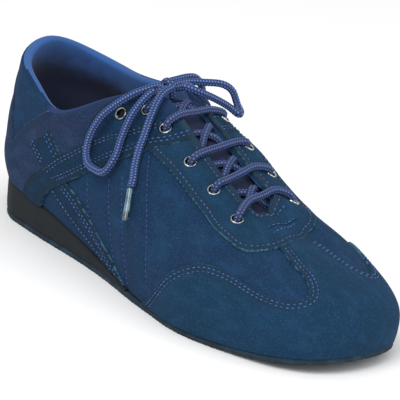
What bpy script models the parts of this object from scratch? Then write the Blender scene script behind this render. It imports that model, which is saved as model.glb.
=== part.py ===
"""Low lace-up dance shoe for the right foot: toe along +X, lateral side at -Y, sole on the XY plane.

The upper is one function. Ribs run from the feather line, where it meets the sole, up to the edge of
the opening, which is collar and throat in one loop. At the heel and the toe the ribs fan out from an
upright axis, and between them they stand square to the length. Sizes are in millimetres.
"""
from collections import namedtuple
import math

import bmesh
import bpy
import numpy as np
from mathutils import Vector
from mathutils.geometry import delaunay_2d_cdt

MM = 0.001

# Main sizes
HEEL_AXIS_X = -97.0
TOE_AXIS_X = 36.0
HEEL_ROUND = 33.0
TOE_ROUND = 55.0
WALL = 1.8
COLLAR_PAD = 3.2
SEAM_GAP = 0.3
INSOLE_THICK = 2.2
INSOLE_GAP = 0.4
TONGUE_THICK = 2.4
OVERLAY_THICK = 0.9
OVERLAY_GAP = 0.45
LIP_ROUND = 0.3

# Collar padding: where it ends along the side, the length that it fades over, and its rise up the rib
PAD_END_X = -30.0
PAD_FADE = 40.0
PAD_FROM_T = 0.55
PAD_RISE_T = 0.3

# Sole
OUTSOLE_THICK = 2.5
OUTSOLE_PROUD = 0.6
WEDGE_PROUD = 0.9
FLAT_END_X = 52.0
TOE_END_X = 121.0
TOE_SPRING = 5.6
WEDGE_END_X = 6.0

# Lace and eyelets
LACE_RADIUS = 1.75
LACE_SPACING = 6.0
KNOT_RADIUS = 3.0
AGLET_RADIUS = 1.5
CROSS_MIDDLE_Y = -1.5
CROSS_HALF = 4.0
CROSS_RISE = 0.9
BAR_POINTS = 8
BAR_PROBES = 25
EYELET_BORE = 1.95
EYELET_BARREL = 2.35
EYELET_FLANGE = 3.3
EYELET_RISE = 0.6
EYELET_CLEAR = 0.5
EYELET_HOLE = 3.0
EYELET_SIDES = 8
EYELET_CORNERS = 6

# Height of the seat that the upper stands on, above the underside of the outsole
Seat = namedtuple("Seat", "x height")
SEATS = [
    Seat(-140, 17.5), Seat(-131, 17.5), Seat(-97, 16.5), Seat(-70, 14.5), Seat(-45, 10.5),
    Seat(-22, 7.0), Seat(-8, 5.0), Seat(6, 3.5), Seat(20, 2.7), Seat(36, 2.5), Seat(140, 2.5),
]

# One row for each rib that is measured. Place is degrees from the heel's back or the toe's tip in the
# fans, and x between them. Radii run from the axis or the centre plane. Dip is the slope at the edge.
Section = namedtuple("Section", "zone place feather_lat feather_med bulge bulge_z edge_lat edge_med"
                                " edge_lat_z edge_med_z dip_lat dip_med low high")
SECTIONS = [
    Section("heel", 0, 32.0, 32.0, 3.0, 34.0, 28.5, 28.5, 76.5, 76.5, 83, 83, 0.33, 0.33),
    Section("heel", 45, 29.5, 30.0, 2.5, 32.5, 28.0, 28.5, 73.0, 70.0, 81, 81, 0.33, 0.33),
    Section("heel", 90, 30.5, 28.5, 2.5, 31.0, 29.5, 28.5, 67.5, 65.0, 82, 82, 0.33, 0.33),
    Section("mid", -70, 32.5, 26.5, 2.5, 29.0, 32.5, 29.5, 60.0, 66.5, 78, 78, 0.35, 0.33),
    Section("mid", -45, 33.5, 25.0, 2.0, 27.5, 24.0, 24.0, 72.0, 72.0, 68, 68, 0.37, 0.33),
    Section("mid", -22, 35.5, 26.5, 2.0, 25.5, 9.0, 5.5, 79.0, 79.5, 40, 26, 0.41, 0.33),
    Section("mid", -8, 37.5, 29.5, 1.5, 23.5, 8.0, 5.0, 74.0, 72.5, 30, 12, 0.47, 0.39),
    Section("mid", 12, 41.0, 35.5, 1.5, 21.0, 8.5, 5.0, 63.5, 64.5, 18, 4, 0.50, 0.40),
    Section("toe", 90, 44.0, 40.5, 1.5, 18.0, 7.5, 6.5, 52.5, 53.5, 26, 17, 0.55, 0.41),
    Section("toe", 60, 50.5, 46.5, 1.5, 17.0, 8.0, 9.0, 50.0, 50.5, 26, 24, 0.56, 0.42),
    Section("toe", 35, 64.5, 61.0, 1.5, 15.5, 8.5, 8.5, 46.5, 48.0, 20, 20, 0.56, 0.40),
    Section("toe", 15, 82.0, 79.0, 1.5, 16.5, 9.5, 9.0, 45.0, 44.5, 18, 18, 0.57, 0.38),
    Section("toe", 0, 83.5, 83.5, 1.5, 18.0, 9.0, 9.0, 45.0, 45.0, 16, 16, 0.58, 0.38),
]
BULGE_T = 0.22

# Facets of the upper: steps in each heel and toe fan, lines between them, and heights up a rib
HEEL_STEPS = 7
MID_LINES = [-97, -83, -70, -57, -45, -33, -22, -11, 0, 12, 24]
TOE_STEPS = 10
RIB_HEIGHTS = [0, 0.11, 0.22, 0.36, 0.50, 0.64, 0.78, 0.90, 1.0]
RIB_LENGTH = 70.0
STEP_U = 0.05
STEP_T = 0.002
ROOF_PROBES = 80
SEAT_SAMPLES = 8
EDGE_SAMPLES = 2
CORD_SAMPLES = 12
CORD_RESOLUTION = 2
SHARP_DEGREES = 40

# Distances, in mm, under which two places count as one
SAME_LINE = 0.001
SAME_POINT = 0.0001

# Rims of the overlays up the rib, points on their long straight edges, and room at their corners
RIM_LOW = 0.004
RIM_HIGH = 0.996
THROAT_POINTS = 10
CAP_FOOT_POINTS = 18
COLLAR_POINTS = 8
COUNTER_FOOT_POINTS = 14
CORNER_ROOM = 1.5
CROSS_ROOM = 0.8
STAY_ROOM = 0.01

# Overlay edges, as mm along the side from the back of the heel, and share of the way up the rib
Edge = namedtuple("Edge", "along up")
STRAP_TOP = [Edge(59, RIM_LOW), Edge(63, 0.10), Edge(72, 0.25), Edge(80, 0.40), Edge(90, 0.55),
             Edge(104, 0.65), Edge(114, 0.70), Edge(125, 0.74), Edge(136, 0.88), Edge(140, RIM_HIGH)]
STRAP_FOOT = [Edge(75, RIM_LOW), Edge(82, 0.14), Edge(96, 0.31), Edge(112, 0.45), Edge(132, 0.60),
              Edge(143, 0.75), Edge(149, 0.84), Edge(152, 0.92), Edge(154, RIM_HIGH)]
STAY_EDGE = [Edge(144, 0.75), Edge(159, 0.77), Edge(178, 0.77), Edge(196, 0.76), Edge(212, 0.73),
             Edge(230, 0.70), Edge(241, 0.73), Edge(250, 0.77), Edge(260, 0.80), Edge(271, 0.82)]
STAY_EDGE_MEDIAL = [Edge(144, 0.75), Edge(159, 0.77), Edge(178, 0.77), Edge(196, 0.76), Edge(212, 0.76),
                    Edge(227, 0.77), Edge(239, 0.79), Edge(251, 0.82), Edge(271, 0.82)]
CAP_EDGE = [Edge(171, RIM_LOW), Edge(178, 0.08), Edge(193, 0.30), Edge(204, 0.42), Edge(215, 0.49),
            Edge(229, 0.50), Edge(241, 0.46), Edge(249, 0.44), Edge(255, 0.47), Edge(258, 0.53),
            Edge(259, 0.61), Edge(258, 0.69), Edge(257, 0.77)]
CAP_EDGE_MEDIAL = [Edge(171, RIM_LOW), Edge(178, 0.07), Edge(194, 0.28), Edge(206, 0.40), Edge(218, 0.48),
                   Edge(231, 0.52), Edge(241, 0.51), Edge(248, 0.51), Edge(253, 0.54), Edge(256, 0.60),
                   Edge(256, 0.66), Edge(254, 0.72), Edge(252, 0.80)]
COUNTER_TOP = [Edge(0, 0.25), Edge(22, 0.26), Edge(44, 0.32), Edge(52, 0.46), Edge(59, 0.64),
               Edge(66, 0.80), Edge(73, 0.96), Edge(75, 0.99)]
COUNTER_FRONT = [Edge(123, 0.99), Edge(116, 0.94), Edge(108, 0.84), Edge(105, 0.70)]
CROSS_TOP_BACK = [Edge(66, 0.50), Edge(77, 0.37)]
CROSS_TOP_FRONT = [Edge(79, 0.80), Edge(90, 0.57)]
CROSS_LOW_BACK = [Edge(87, 0.17), Edge(97, 0.11), Edge(110, 0.06), Edge(132, 0.01)]
CROSS_LOW_FRONT = [Edge(98, 0.31), Edge(106, 0.26), Edge(121, 0.17), Edge(148, 0.03), Edge(153, 0.01)]
BACKSTAY_SIDE = [Edge(48, 0.40), Edge(38, 0.62), Edge(26, 0.80), Edge(12, 0.93), Edge(0, 0.95)]
EYELETS_LATERAL = [Edge(220, 0.86), Edge(178, 0.90), Edge(162, 0.89), Edge(142, 0.89), Edge(126, 0.89),
                   Edge(115, 0.85)]
EYELETS_MEDIAL = [Edge(204, 0.865), Edge(175, 0.86), Edge(161, 0.89), Edge(140, 0.865), Edge(126, 0.82),
                  Edge(115, 0.82)]
EYELET_PAIRS = 6
EYELETS_ON_STAY = 3
EYELETS_ON_OVERLAY = 4
LACED_EYELETS = 4

# Free lengths of the lace: the tied middle, two loops of the bow, and two ends with their aglets
KNOT = [(-26, -4.7, 81.5), (-26, -3, 81.5), (-26, -1.3, 81.5)]
LOOP_LATERAL = [
    (-26.5, -5.5, 81.5), (-26.5, -10, 82), (-27, -14.5, 81), (-29.5, -19.5, 78.5), (-34, -26, 72.5),
    (-37, -30, 67), (-39, -33, 59.5), (-38, -35.5, 52.5), (-34, -37, 48), (-27.5, -37.5, 47),
    (-21, -37.5, 48), (-18, -35.5, 53), (-18.5, -33, 57), (-20.5, -30, 62), (-22, -26, 68.5),
    (-22.5, -23, 73), (-22.5, -19, 77.5), (-22.5, -15, 80.5), (-22.5, -12.5, 81.5),
]
LOOP_MEDIAL = [
    (-26.5, -0.5, 81.5), (-27, 3.5, 82), (-26, 8, 82.5), (-23, 14, 82.5), (-19.5, 21, 82), (-17.5, 25.5, 79),
    (-15.5, 27.5, 73), (-11.5, 26.5, 71), (-9, 23.5, 71), (-12, 20, 74), (-13, 13, 78), (-13, 4.5, 82),
    (-16.5, 0.5, 83.5), (-20.5, 0.5, 82.5),
]
END_LATERAL = [
    (-21.2, -4.2, 82.5), (-18.5, -11, 81.5), (-16, -16, 78), (-12.5, -21.5, 72), (-9.5, -26, 66),
    (-7.5, -29.5, 61), (-4, -33.5, 55), (-1, -36, 50.5), (0.5, -38, 47.5),
]
END_MEDIAL = [
    (-31, 0.5, 82), (-31, 5, 82.5), (-31, 10, 83), (-31, 14.5, 82.5), (-32, 18.5, 79.5), (-34, 21.5, 75),
    (-36, 24.5, 70), (-36.5, 27, 65), (-35, 28.5, 60), (-33, 30, 55.5), (-31, 31.5, 52),
]
AGLET_LATERAL = [(0.7, -38.2, 47), (6, -43.5, 35)]
AGLET_MEDIAL = [(-30.9, 31.6, 51.5), (-28.5, 34, 38.5)]

# Tongue, as x from its sewn front to its free top
TONGUE_FRONT_X = 52.0
TONGUE_TOP_X = -27.0
TONGUE_HALF_FRONT = 17.0
TONGUE_HALF_TOP = 21.0
TONGUE_ROWS = 11
TONGUE_COLUMNS = 8
TONGUE_CLEAR = 0.75
TONGUE_PROBES = 41
PROBE_STEP = 0.02
PROBE_EDGE = 0.97


def periodic_spline(knots, values, period, at):
    """Cubic spline through rows of values, with equal slope and bend where the loop closes."""
    count = len(knots)
    closed = np.append(knots, knots[0] + period)
    step = np.diff(closed)
    system = np.zeros((count, count))
    right = np.zeros_like(values)
    for row in range(count):
        before = (row - 1) % count
        after = (row + 1) % count
        system[row, before] = step[row]
        system[row, row] = 2 * (step[before] + step[row])
        system[row, after] = step[before]
        right[row] = 3 * (step[before] * (values[after] - values[row]) / step[row]
                          + step[row] * (values[row] - values[before]) / step[before])
    slope = np.linalg.solve(system, right)
    place = np.mod(at - knots[0], period) + knots[0]
    row = np.clip(np.searchsorted(closed, place, side="right") - 1, 0, count - 1)
    after = (row + 1) % count
    s = ((place - closed[row]) / step[row])[:, None]
    width = step[row][:, None]
    return ((2 * s**3 - 3 * s**2 + 1) * values[row] + (s**3 - 2 * s**2 + s) * width * slope[row]
            + (3 * s**2 - 2 * s**3) * values[after] + (s**3 - s**2) * width * slope[after])


def smooth_path(points, samples):
    """Points on a smooth curve through the given points, with the given number between neighbours."""
    points = np.asarray(points, float)
    slope = np.gradient(points, axis=0)
    s = np.linspace(0, 1, samples, endpoint=False)[None, :, None]
    start, end = points[:-1, None], points[1:, None]
    leave, reach = slope[:-1, None], slope[1:, None]
    curve = ((2 * s**3 - 3 * s**2 + 1) * start + (s**3 - 2 * s**2 + s) * leave
             + (3 * s**2 - 2 * s**3) * end + (s**3 - s**2) * reach)
    return np.vstack([curve.reshape(-1, points.shape[1]), points[-1:]])


def ground(x):
    """Height of the outsole's underside: flat to the ball, then lifted to the toe."""
    past = np.clip((np.asarray(x, float) - FLAT_END_X) / (TOE_END_X - FLAT_END_X), 0, None)
    return TOE_SPRING * past**2


def seat(x):
    """Height of the top of the sole."""
    rows = smooth_path(SEATS, SEAT_SAMPLES)
    return np.interp(x, rows[:, 0], rows[:, 1]) + ground(x)


def along_side(zone, place):
    """Distance of a rib from the back of the heel, in mm along one side of the shoe."""
    quarter = HEEL_ROUND * math.pi / 2
    if zone == "heel":
        return HEEL_ROUND * math.radians(place)
    if zone == "mid":
        return quarter + place - HEEL_AXIS_X
    return quarter + TOE_AXIS_X - HEEL_AXIS_X + TOE_ROUND * math.radians(90 - place)


SIDE = along_side("toe", 0)
LOOP = 2 * SIDE


def rib_axis(u):
    """Foot of each rib on the axis or centre plane, and the direction that it faces in plan."""
    u = np.mod(u, LOOP)
    lateral = u <= SIDE
    along = np.where(lateral, u, LOOP - u)
    heel_end = along_side("heel", 90)
    toe_start = along_side("toe", 90)
    heel_angle = along / HEEL_ROUND
    toe_angle = math.pi / 2 - (along - toe_start) / TOE_ROUND
    in_heel = along < heel_end
    in_toe = along > toe_start
    foot = np.where(in_heel, HEEL_AXIS_X, np.where(in_toe, TOE_AXIS_X, HEEL_AXIS_X + along - heel_end))
    face_x = np.where(in_heel, -np.cos(heel_angle), np.where(in_toe, np.cos(toe_angle), 0.0))
    face_y = np.where(in_heel, np.sin(heel_angle), np.where(in_toe, np.sin(toe_angle), 1.0))
    return foot, face_x, np.where(lateral, -face_y, face_y)


def section_rows():
    """The measured ribs as one closed loop: lateral side to the toe, medial side back to the heel."""
    along = [along_side(row.zone, row.place) for row in SECTIONS]
    lateral = [(r.feather_lat, r.bulge, r.bulge_z, r.edge_lat, r.edge_lat_z, r.dip_lat, r.low, r.high)
               for r in SECTIONS]
    medial = [(r.feather_med, r.bulge, r.bulge_z, r.edge_med, r.edge_med_z, r.dip_med, r.low, r.high)
              for r in SECTIONS]
    knots = along + [LOOP - place for place in along[-2:0:-1]]
    return np.array(knots), np.array(lateral + medial[-2:0:-1])


KNOTS, ROWS = section_rows()


def rib_sizes(u):
    """Sizes of the ribs at u, one column each, with the feather line standing on the seat."""
    u = np.atleast_1d(np.asarray(u, float))
    feather, bulge, bulge_z, edge, edge_z, dip, low, high = periodic_spline(KNOTS, ROWS, LOOP, u).T
    foot, face_x, _ = rib_axis(u)
    feather_z = seat(foot + face_x * feather) + SEAM_GAP
    return [column[:, None] for column in
            (feather, feather_z, feather + bulge, bulge_z, edge, edge_z, np.radians(dip), low, high)]


def rib_profile(sizes, t):
    """Radius and height up the ribs: a short arc out to the bulge, then one curve to the edge."""
    feather, feather_z, bulge, bulge_z, edge, edge_z, dip, low, high = sizes
    s = np.clip(t / BULGE_T, 0, 1)
    low_r = bulge - (bulge - feather) * (1 - s)**2
    low_z = feather_z + (bulge_z - feather_z) * s
    w = np.clip((t - BULGE_T) / (1 - BULGE_T), 0, 1)
    pull = high * np.hypot(bulge - edge, edge_z - bulge_z)
    weights = ((1 - w)**3, 3 * (1 - w)**2 * w, 3 * (1 - w) * w**2, w**3)
    radii = (bulge, bulge, edge + pull * np.cos(dip), edge)
    heights = (bulge_z, bulge_z + low * (edge_z - bulge_z), edge_z - pull * np.sin(dip), edge_z)
    high_r = sum(weight * radius for weight, radius in zip(weights, radii))
    high_z = sum(weight * height for weight, height in zip(weights, heights))
    return np.where(t < BULGE_T, low_r, high_r), np.where(t < BULGE_T, low_z, high_z)


def surface(u, t):
    """Points of the upper's outer form at pairs of u and t."""
    u = np.atleast_1d(np.asarray(u, float))
    foot, face_x, face_y = rib_axis(u)
    radius, height = rib_profile(rib_sizes(u), np.asarray(t, float)[:, None])
    radius = radius[:, 0]
    return np.stack([foot + face_x * radius, face_y * radius, height[:, 0]], axis=1)


def surface_frame(u, t):
    """Outer form's point, its two tangents and its outward normal at pairs of u and t."""
    u = np.atleast_1d(np.asarray(u, float))
    t = np.atleast_1d(np.asarray(t, float))
    low_t = np.clip(t - STEP_T, 0, 1)
    high_t = np.clip(t + STEP_T, 0, 1)
    along = (surface(u + STEP_U, t) - surface(u - STEP_U, t)) / (2 * STEP_U)
    up = (surface(u, high_t) - surface(u, low_t)) / (high_t - low_t)[:, None]
    normal = np.cross(along, up)
    normal /= np.linalg.norm(normal, axis=1)[:, None]
    return surface(u, t), along, up, normal


def grid_lines():
    """Places of the facet lines round the loop."""
    heel = [along_side("heel", 90 * step / HEEL_STEPS) for step in range(HEEL_STEPS)]
    mid = [along_side("mid", x) for x in MID_LINES]
    toe = [along_side("toe", 90 - 90 * step / TOE_STEPS) for step in range(TOE_STEPS + 1)]
    side = heel + mid + toe
    return np.array(side + [LOOP - place for place in side[-2::-1]])


U_LINES = grid_lines()
T_LINES = np.array(RIB_HEIGHTS)


def facet_grid():
    """Corner points and normals of the facets, as rows round the loop and columns up the ribs."""
    u = np.repeat(U_LINES, len(T_LINES))
    t = np.tile(T_LINES, len(U_LINES))
    point, _, _, normal = surface_frame(u, t)
    shape = (len(U_LINES), len(T_LINES), 3)
    return point.reshape(shape), normal.reshape(shape)


CORNERS, NORMALS = facet_grid()


def on_facets(uv, corners):
    """Points at (u, t) on flat facets between the given corners, each cell cut by one diagonal."""
    u = np.mod(uv[:, 0], LOOP)
    i = np.clip(np.searchsorted(U_LINES, u, side="right") - 1, 0, len(U_LINES) - 2)
    j = np.clip(np.searchsorted(T_LINES, uv[:, 1], side="right") - 1, 0, len(T_LINES) - 2)
    a = ((u - U_LINES[i]) / (U_LINES[i + 1] - U_LINES[i]))[:, None]
    b = ((uv[:, 1] - T_LINES[j]) / (T_LINES[j + 1] - T_LINES[j]))[:, None]
    near, far = corners[i, j], corners[i + 1, j + 1]
    under = near * (1 - a) + corners[i + 1, j] * (a - b) + far * b
    over = near * (1 - b) + corners[i, j + 1] * (b - a) + far * a
    return np.where(a >= b, under, over)


def inside(points, loops):
    """True for points inside an odd number of the loops."""
    hit = np.zeros(len(points), bool)
    for loop in loops:
        start = np.asarray(loop)
        end = np.roll(start, -1, axis=0)
        for (u0, t0), (u1, t1) in zip(start, end):
            if t0 == t1:
                continue
            spans = (t0 > points[:, 1]) != (t1 > points[:, 1])
            hit ^= spans & (points[:, 0] < u0 + (points[:, 1] - t0) * (u1 - u0) / (t1 - t0))
    return hit


def cut_facets(loops, first_u, last_u):
    """The facets between two places round the loop, cut along the loops: (u, t) points and triangles."""
    lines = np.concatenate([U_LINES[:-1] - LOOP, U_LINES, U_LINES[1:] + LOOP])
    first = max(np.searchsorted(lines, first_u + SAME_LINE) - 1, 0)
    last = np.searchsorted(lines, last_u - SAME_LINE)
    lines = lines[first:last + 1]
    rows = len(T_LINES)
    points = [Vector((u, t * RIB_LENGTH)) for u in lines for t in T_LINES]
    edges = []
    for i in range(len(lines)):
        for j in range(rows):
            here = i * rows + j
            if j + 1 < rows:
                edges.append((here, here + 1))
            if i + 1 < len(lines):
                edges.append((here, here + rows))
            if j + 1 < rows and i + 1 < len(lines):
                edges.append((here, here + rows + 1))
    for loop in loops:
        start = len(points)
        points += [Vector((u, t * RIB_LENGTH)) for u, t in loop]
        edges += [(start + k, start + (k + 1) % len(loop)) for k in range(len(loop))]
    found, _, triangles, *_ = delaunay_2d_cdt(points, edges, [], 0, SAME_POINT)
    uv = np.array([(v.x, v.y / RIB_LENGTH) for v in found])
    return uv, np.array(triangles)


def material(name, colour, roughness, metallic=0.0):
    """A plain surface with one colour."""
    made = bpy.data.materials.new(name)
    made.use_nodes = True
    shader = made.node_tree.nodes["Principled BSDF"]
    shader.inputs["Base Color"].default_value = (*colour, 1.0)
    shader.inputs["Roughness"].default_value = roughness
    shader.inputs["Metallic"].default_value = metallic
    return made


def add_mesh(name, points, faces, finish):
    """A mesh object from points in millimetres."""
    mesh = bpy.data.meshes.new(name)
    mesh.from_pydata((np.asarray(points) * MM).tolist(), [], [list(map(int, face)) for face in faces])
    mesh.materials.append(finish)
    mesh.shade_smooth()
    mesh.set_sharp_from_angle(angle=math.radians(SHARP_DEGREES))
    made = bpy.data.objects.new(name, mesh)
    bpy.context.scene.collection.objects.link(made)
    return made


def shell(name, uv, triangles, outer, inner, finish, crest=None):
    """A closed sheet between two skins, with walls round its rims, rounded where a crest is given."""
    used = np.unique(triangles)
    place = np.full(len(uv), -1)
    place[used] = np.arange(len(used))
    triangles = place[triangles]
    count = len(used)
    points = [outer[used], inner[used]]
    faces = list(triangles) + list(triangles[:, ::-1] + count)
    edges = np.vstack([triangles[:, [0, 1]], triangles[:, [1, 2]], triangles[:, [2, 0]]])
    known = {(int(a), int(b)) for a, b in edges}
    top = {}
    if crest is not None:
        lip = [int(k) for k in np.nonzero(np.abs(uv[used, 1] - 1) < SAME_POINT)[0]]
        top = {k: 2 * count + order for order, k in enumerate(lip)}
        points.append(crest[used][lip])
    for a, b in known:
        if (b, a) in known:
            continue
        if a in top and b in top:
            faces.append((b, a, top[a], top[b]))
            faces.append((top[b], top[a], a + count, b + count))
        else:
            faces.append((b, a, a + count, b + count))
    return add_mesh(name, np.vstack(points), faces, finish)


def eyelet_seat(number, lateral):
    """Place of an eyelet as (u, t), counted from 1 at the toe."""
    edge = (EYELETS_LATERAL if lateral else EYELETS_MEDIAL)[number - 1]
    return (edge.along if lateral else LOOP - edge.along, edge.up)


def eyelet_axes(place):
    """Seat of an eyelet on the facets at (u, t): its point, the steps along and up, and its normal."""
    u, t = place
    up_step = EYELET_FLANGE / RIB_LENGTH
    ring = on_facets(np.array([(u, t), (u + EYELET_FLANGE, t), (u - EYELET_FLANGE, t),
                               (u, t + up_step), (u, t - up_step)]), CORNERS)
    along = (ring[1] - ring[2]) / (2 * EYELET_FLANGE)
    up = (ring[3] - ring[4]) / (2 * up_step)
    normal = np.cross(along, up)
    normal /= np.linalg.norm(normal)
    point = ring[0] + normal * max((ring - ring[0]) @ normal)
    return point, along, up, normal


def eyelet_ring(place, radius):
    """Points of a circle round an eyelet's seat, as steps across and up it."""
    _, along, _, normal = eyelet_axes(place)
    across = along / np.linalg.norm(along)
    raised = np.cross(normal, across)
    angles = 2 * np.pi * np.arange(EYELET_SIDES) / EYELET_SIDES
    return radius * (np.cos(angles)[:, None] * across + np.sin(angles)[:, None] * raised)


def eyelet_hole(place, radius):
    """A round hole of the upper as a loop of (u, t) points."""
    _, along, up, normal = eyelet_axes(place)
    steps = np.linalg.solve(np.stack([along, up, normal], axis=1), eyelet_ring(place, radius).T)
    return np.asarray(place) + steps[:2].T


def collar_share(uv):
    """Share of the collar's padding: full round the ankle, none at the throat and low on the wall."""
    along = np.mod(uv[:, 0], LOOP)
    along = np.minimum(along, LOOP - along)
    back = np.clip((along_side("mid", PAD_END_X) - along) / PAD_FADE, 0, 1)
    rise = np.clip((uv[:, 1] - PAD_FROM_T) / PAD_RISE_T, 0, 1)
    return back**2 * (3 - 2 * back) * rise**2 * (3 - 2 * rise)


def make_upper(finish):
    """The hollow upper: outer form, inner form a wall's thickness in, and a round lip on the opening."""
    holes = [eyelet_hole(eyelet_seat(number, lateral), EYELET_HOLE)
             for lateral in (True, False) for number in range(1, EYELET_PAIRS + 1)]
    uv, triangles = cut_facets(holes, 0, LOOP)
    triangles = triangles[~inside(uv[triangles].mean(axis=1), holes)]
    start = {round(float(t), 5): k for k, (u, t) in enumerate(uv) if abs(u) < SAME_LINE}
    joined = np.arange(len(uv))
    for k, (u, t) in enumerate(uv):
        if abs(u - LOOP) < SAME_LINE:
            joined[k] = start[round(float(t), 5)]
    triangles = joined[triangles]
    thick = WALL + COLLAR_PAD * collar_share(uv)[:, None]
    corner_uv = np.stack(np.meshgrid(U_LINES, T_LINES, indexing="ij"), axis=-1)
    corner_thick = WALL + COLLAR_PAD * collar_share(corner_uv.reshape(-1, 2)).reshape(corner_uv.shape[:2])
    outer = on_facets(uv, CORNERS)
    inner = on_facets(uv, CORNERS - NORMALS * corner_thick[..., None])
    _, _, up, _ = surface_frame(uv[:, 0], uv[:, 1])
    rise = up / np.linalg.norm(up, axis=1)[:, None]
    crest = (outer + inner) / 2 + rise * thick * LIP_ROUND
    return shell("upper", uv, triangles, outer, inner, finish, crest)


def panel(name, loop, holes, finish, thick=OVERLAY_THICK):
    """An overlay: the sheet between two larger forms of the upper, cut along a loop of (u, t) points."""
    loop = np.asarray(loop, float)
    loops = [loop] + list(holes)
    uv, triangles = cut_facets(loops, loop[:, 0].min(), loop[:, 0].max())
    triangles = triangles[inside(uv[triangles].mean(axis=1), loops)]
    outer = on_facets(uv, CORNERS + NORMALS * (SEAM_GAP + thick))
    inner = on_facets(uv, CORNERS + NORMALS * SEAM_GAP)
    return shell(name, uv, triangles, outer, inner, finish)


def edge_line(rows, shift=0.0):
    """A smooth overlay edge through its rows, moved to its left by a distance in mm."""
    line = smooth_path(rows, EDGE_SAMPLES) * (1, RIB_LENGTH)
    run = np.gradient(line, axis=0)
    run /= np.linalg.norm(run, axis=1)[:, None]
    line = line + shift * np.stack([-run[:, 1], run[:, 0]], axis=1)
    line = line / (1, RIB_LENGTH)
    line[:, 1] = np.clip(line[:, 1], RIM_LOW, RIM_HIGH)
    return line


def grown(corners, distance):
    """A line of (u, t) corners moved to its left by a distance in mm, with square mitres."""
    line = np.asarray(corners, float) * (1, RIB_LENGTH)
    run = np.diff(line, axis=0)
    run /= np.linalg.norm(run, axis=1)[:, None]
    left = np.stack([-run[:, 1], run[:, 0]], axis=1)
    before = np.vstack([left[:1], left])
    after = np.vstack([left, left[-1:]])
    mitre = (before + after) / (1 + (before * after).sum(axis=1))[:, None]
    return (line + distance * mitre) / (1, RIB_LENGTH)


def mirrored(loop, heel=False):
    """The same outline on the medial side, or joined on across the heel."""
    loop = np.asarray(loop, float)
    return np.stack([-loop[:, 0] if heel else LOOP - loop[:, 0], loop[:, 1]], axis=1)[::-1]


def cap_side(edge, stay):
    """Edge of the toe cap on one side: from the sole up beside the strip, then along the eyestay."""
    strip_top = edge_line(stay, shift=-OVERLAY_GAP)
    return np.vstack([edge_line(edge), strip_top[strip_top[:, 0] > edge[-1].along]])


def make_overlays(suede, nubuck):
    """Toe cap, eyestay, counter, backstay and the crossing straps of both sides."""
    strap_top = edge_line(STRAP_TOP)
    strap_foot = edge_line(STRAP_FOOT)
    strap = np.vstack([strap_top, strap_foot[::-1]])
    cross_top = np.vstack([edge_line(CROSS_TOP_BACK)[::-1], edge_line(CROSS_TOP_FRONT)])
    low_back = edge_line(CROSS_LOW_BACK)
    cross_low = np.vstack([low_back, edge_line(CROSS_LOW_FRONT)[::-1]])
    stay_top = edge_line(STRAP_FOOT, shift=-OVERLAY_GAP)
    stay_top = stay_top[stay_top[:, 1] > STAY_EDGE[0].up + STAY_ROOM]
    throat = np.linspace(stay_top[-1, 0] + CORNER_ROOM, SIDE, THROAT_POINTS)
    throat = np.stack([throat, np.full(len(throat), RIM_HIGH)], axis=1)
    stay_lateral = np.vstack([edge_line(STAY_EDGE)[::-1], stay_top, throat])
    stay_medial = np.vstack([edge_line(STAY_EDGE_MEDIAL)[::-1], stay_top, throat])
    stay = np.vstack([stay_lateral[:-1], mirrored(stay_medial[1:])])
    holes = [eyelet_hole(eyelet_seat(number, lateral), EYELET_HOLE)
             for lateral in (True, False) for number in range(1, EYELETS_ON_STAY + 1)]
    panel("eyestay", stay, holes, suede)
    for side, lateral in (("lateral", True), ("medial", False)):
        place = (lambda loop: loop) if lateral else mirrored
        hole = eyelet_hole(eyelet_seat(EYELETS_ON_STAY + 1, lateral), EYELET_HOLE)
        panel(f"diagonal_strap_{side}", place(strap), [hole], suede)
        panel(f"cross_strap_top_{side}", place(cross_top), [], suede)
        panel(f"cross_strap_low_{side}", place(cross_low), [], suede)
    cap_foot = np.linspace(LOOP - CAP_EDGE[0].along, CAP_EDGE[0].along, CAP_FOOT_POINTS)[1:-1]
    cap_foot = np.stack([cap_foot, np.full(len(cap_foot), RIM_LOW)], axis=1)
    cap_lateral = cap_side(CAP_EDGE, STAY_EDGE)
    cap_medial = cap_side(CAP_EDGE_MEDIAL, STAY_EDGE_MEDIAL)
    panel("toe_cap", np.vstack([cap_lateral[:-1], mirrored(cap_medial), cap_foot]), [], suede)
    above_strap = edge_line(STRAP_TOP, shift=OVERLAY_GAP)
    around_cross = grown(cross_top, OVERLAY_GAP)
    meets_strap = above_strap[above_strap[:, 0] < COUNTER_FRONT[-1].along]
    before = meets_strap[meets_strap[:, 0] < around_cross[0, 0] - CROSS_ROOM]
    after = meets_strap[meets_strap[:, 0] > around_cross[-1, 0] + CROSS_ROOM]
    collar = np.linspace(COUNTER_TOP[-1].along, COUNTER_FRONT[0].along, COLLAR_POINTS)[1:-1]
    collar = np.stack([collar, np.full(len(collar), COUNTER_TOP[-1].up)], axis=1)
    half = np.vstack([edge_line(COUNTER_TOP), collar, edge_line(COUNTER_FRONT), after[::-1],
                      around_cross[::-1], before[::-1]])
    counter_foot = np.linspace(-half[-1, 0], half[-1, 0], COUNTER_FOOT_POINTS)[1:-1]
    counter_foot = np.stack([counter_foot[::-1], np.full(len(counter_foot), RIM_LOW)], axis=1)
    panel("heel_counter", np.vstack([half, counter_foot, mirrored(half[1:], heel=True)]), [], nubuck)
    side = edge_line(BACKSTAY_SIDE)
    foot = edge_line(COUNTER_TOP, shift=OVERLAY_GAP)
    foot = foot[foot[:, 0] < BACKSTAY_SIDE[0].along - CORNER_ROOM]
    back = np.vstack([foot, side])
    panel("backstay", np.vstack([back[1:], mirrored(back[1:-1], heel=True)]), [], nubuck)


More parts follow.
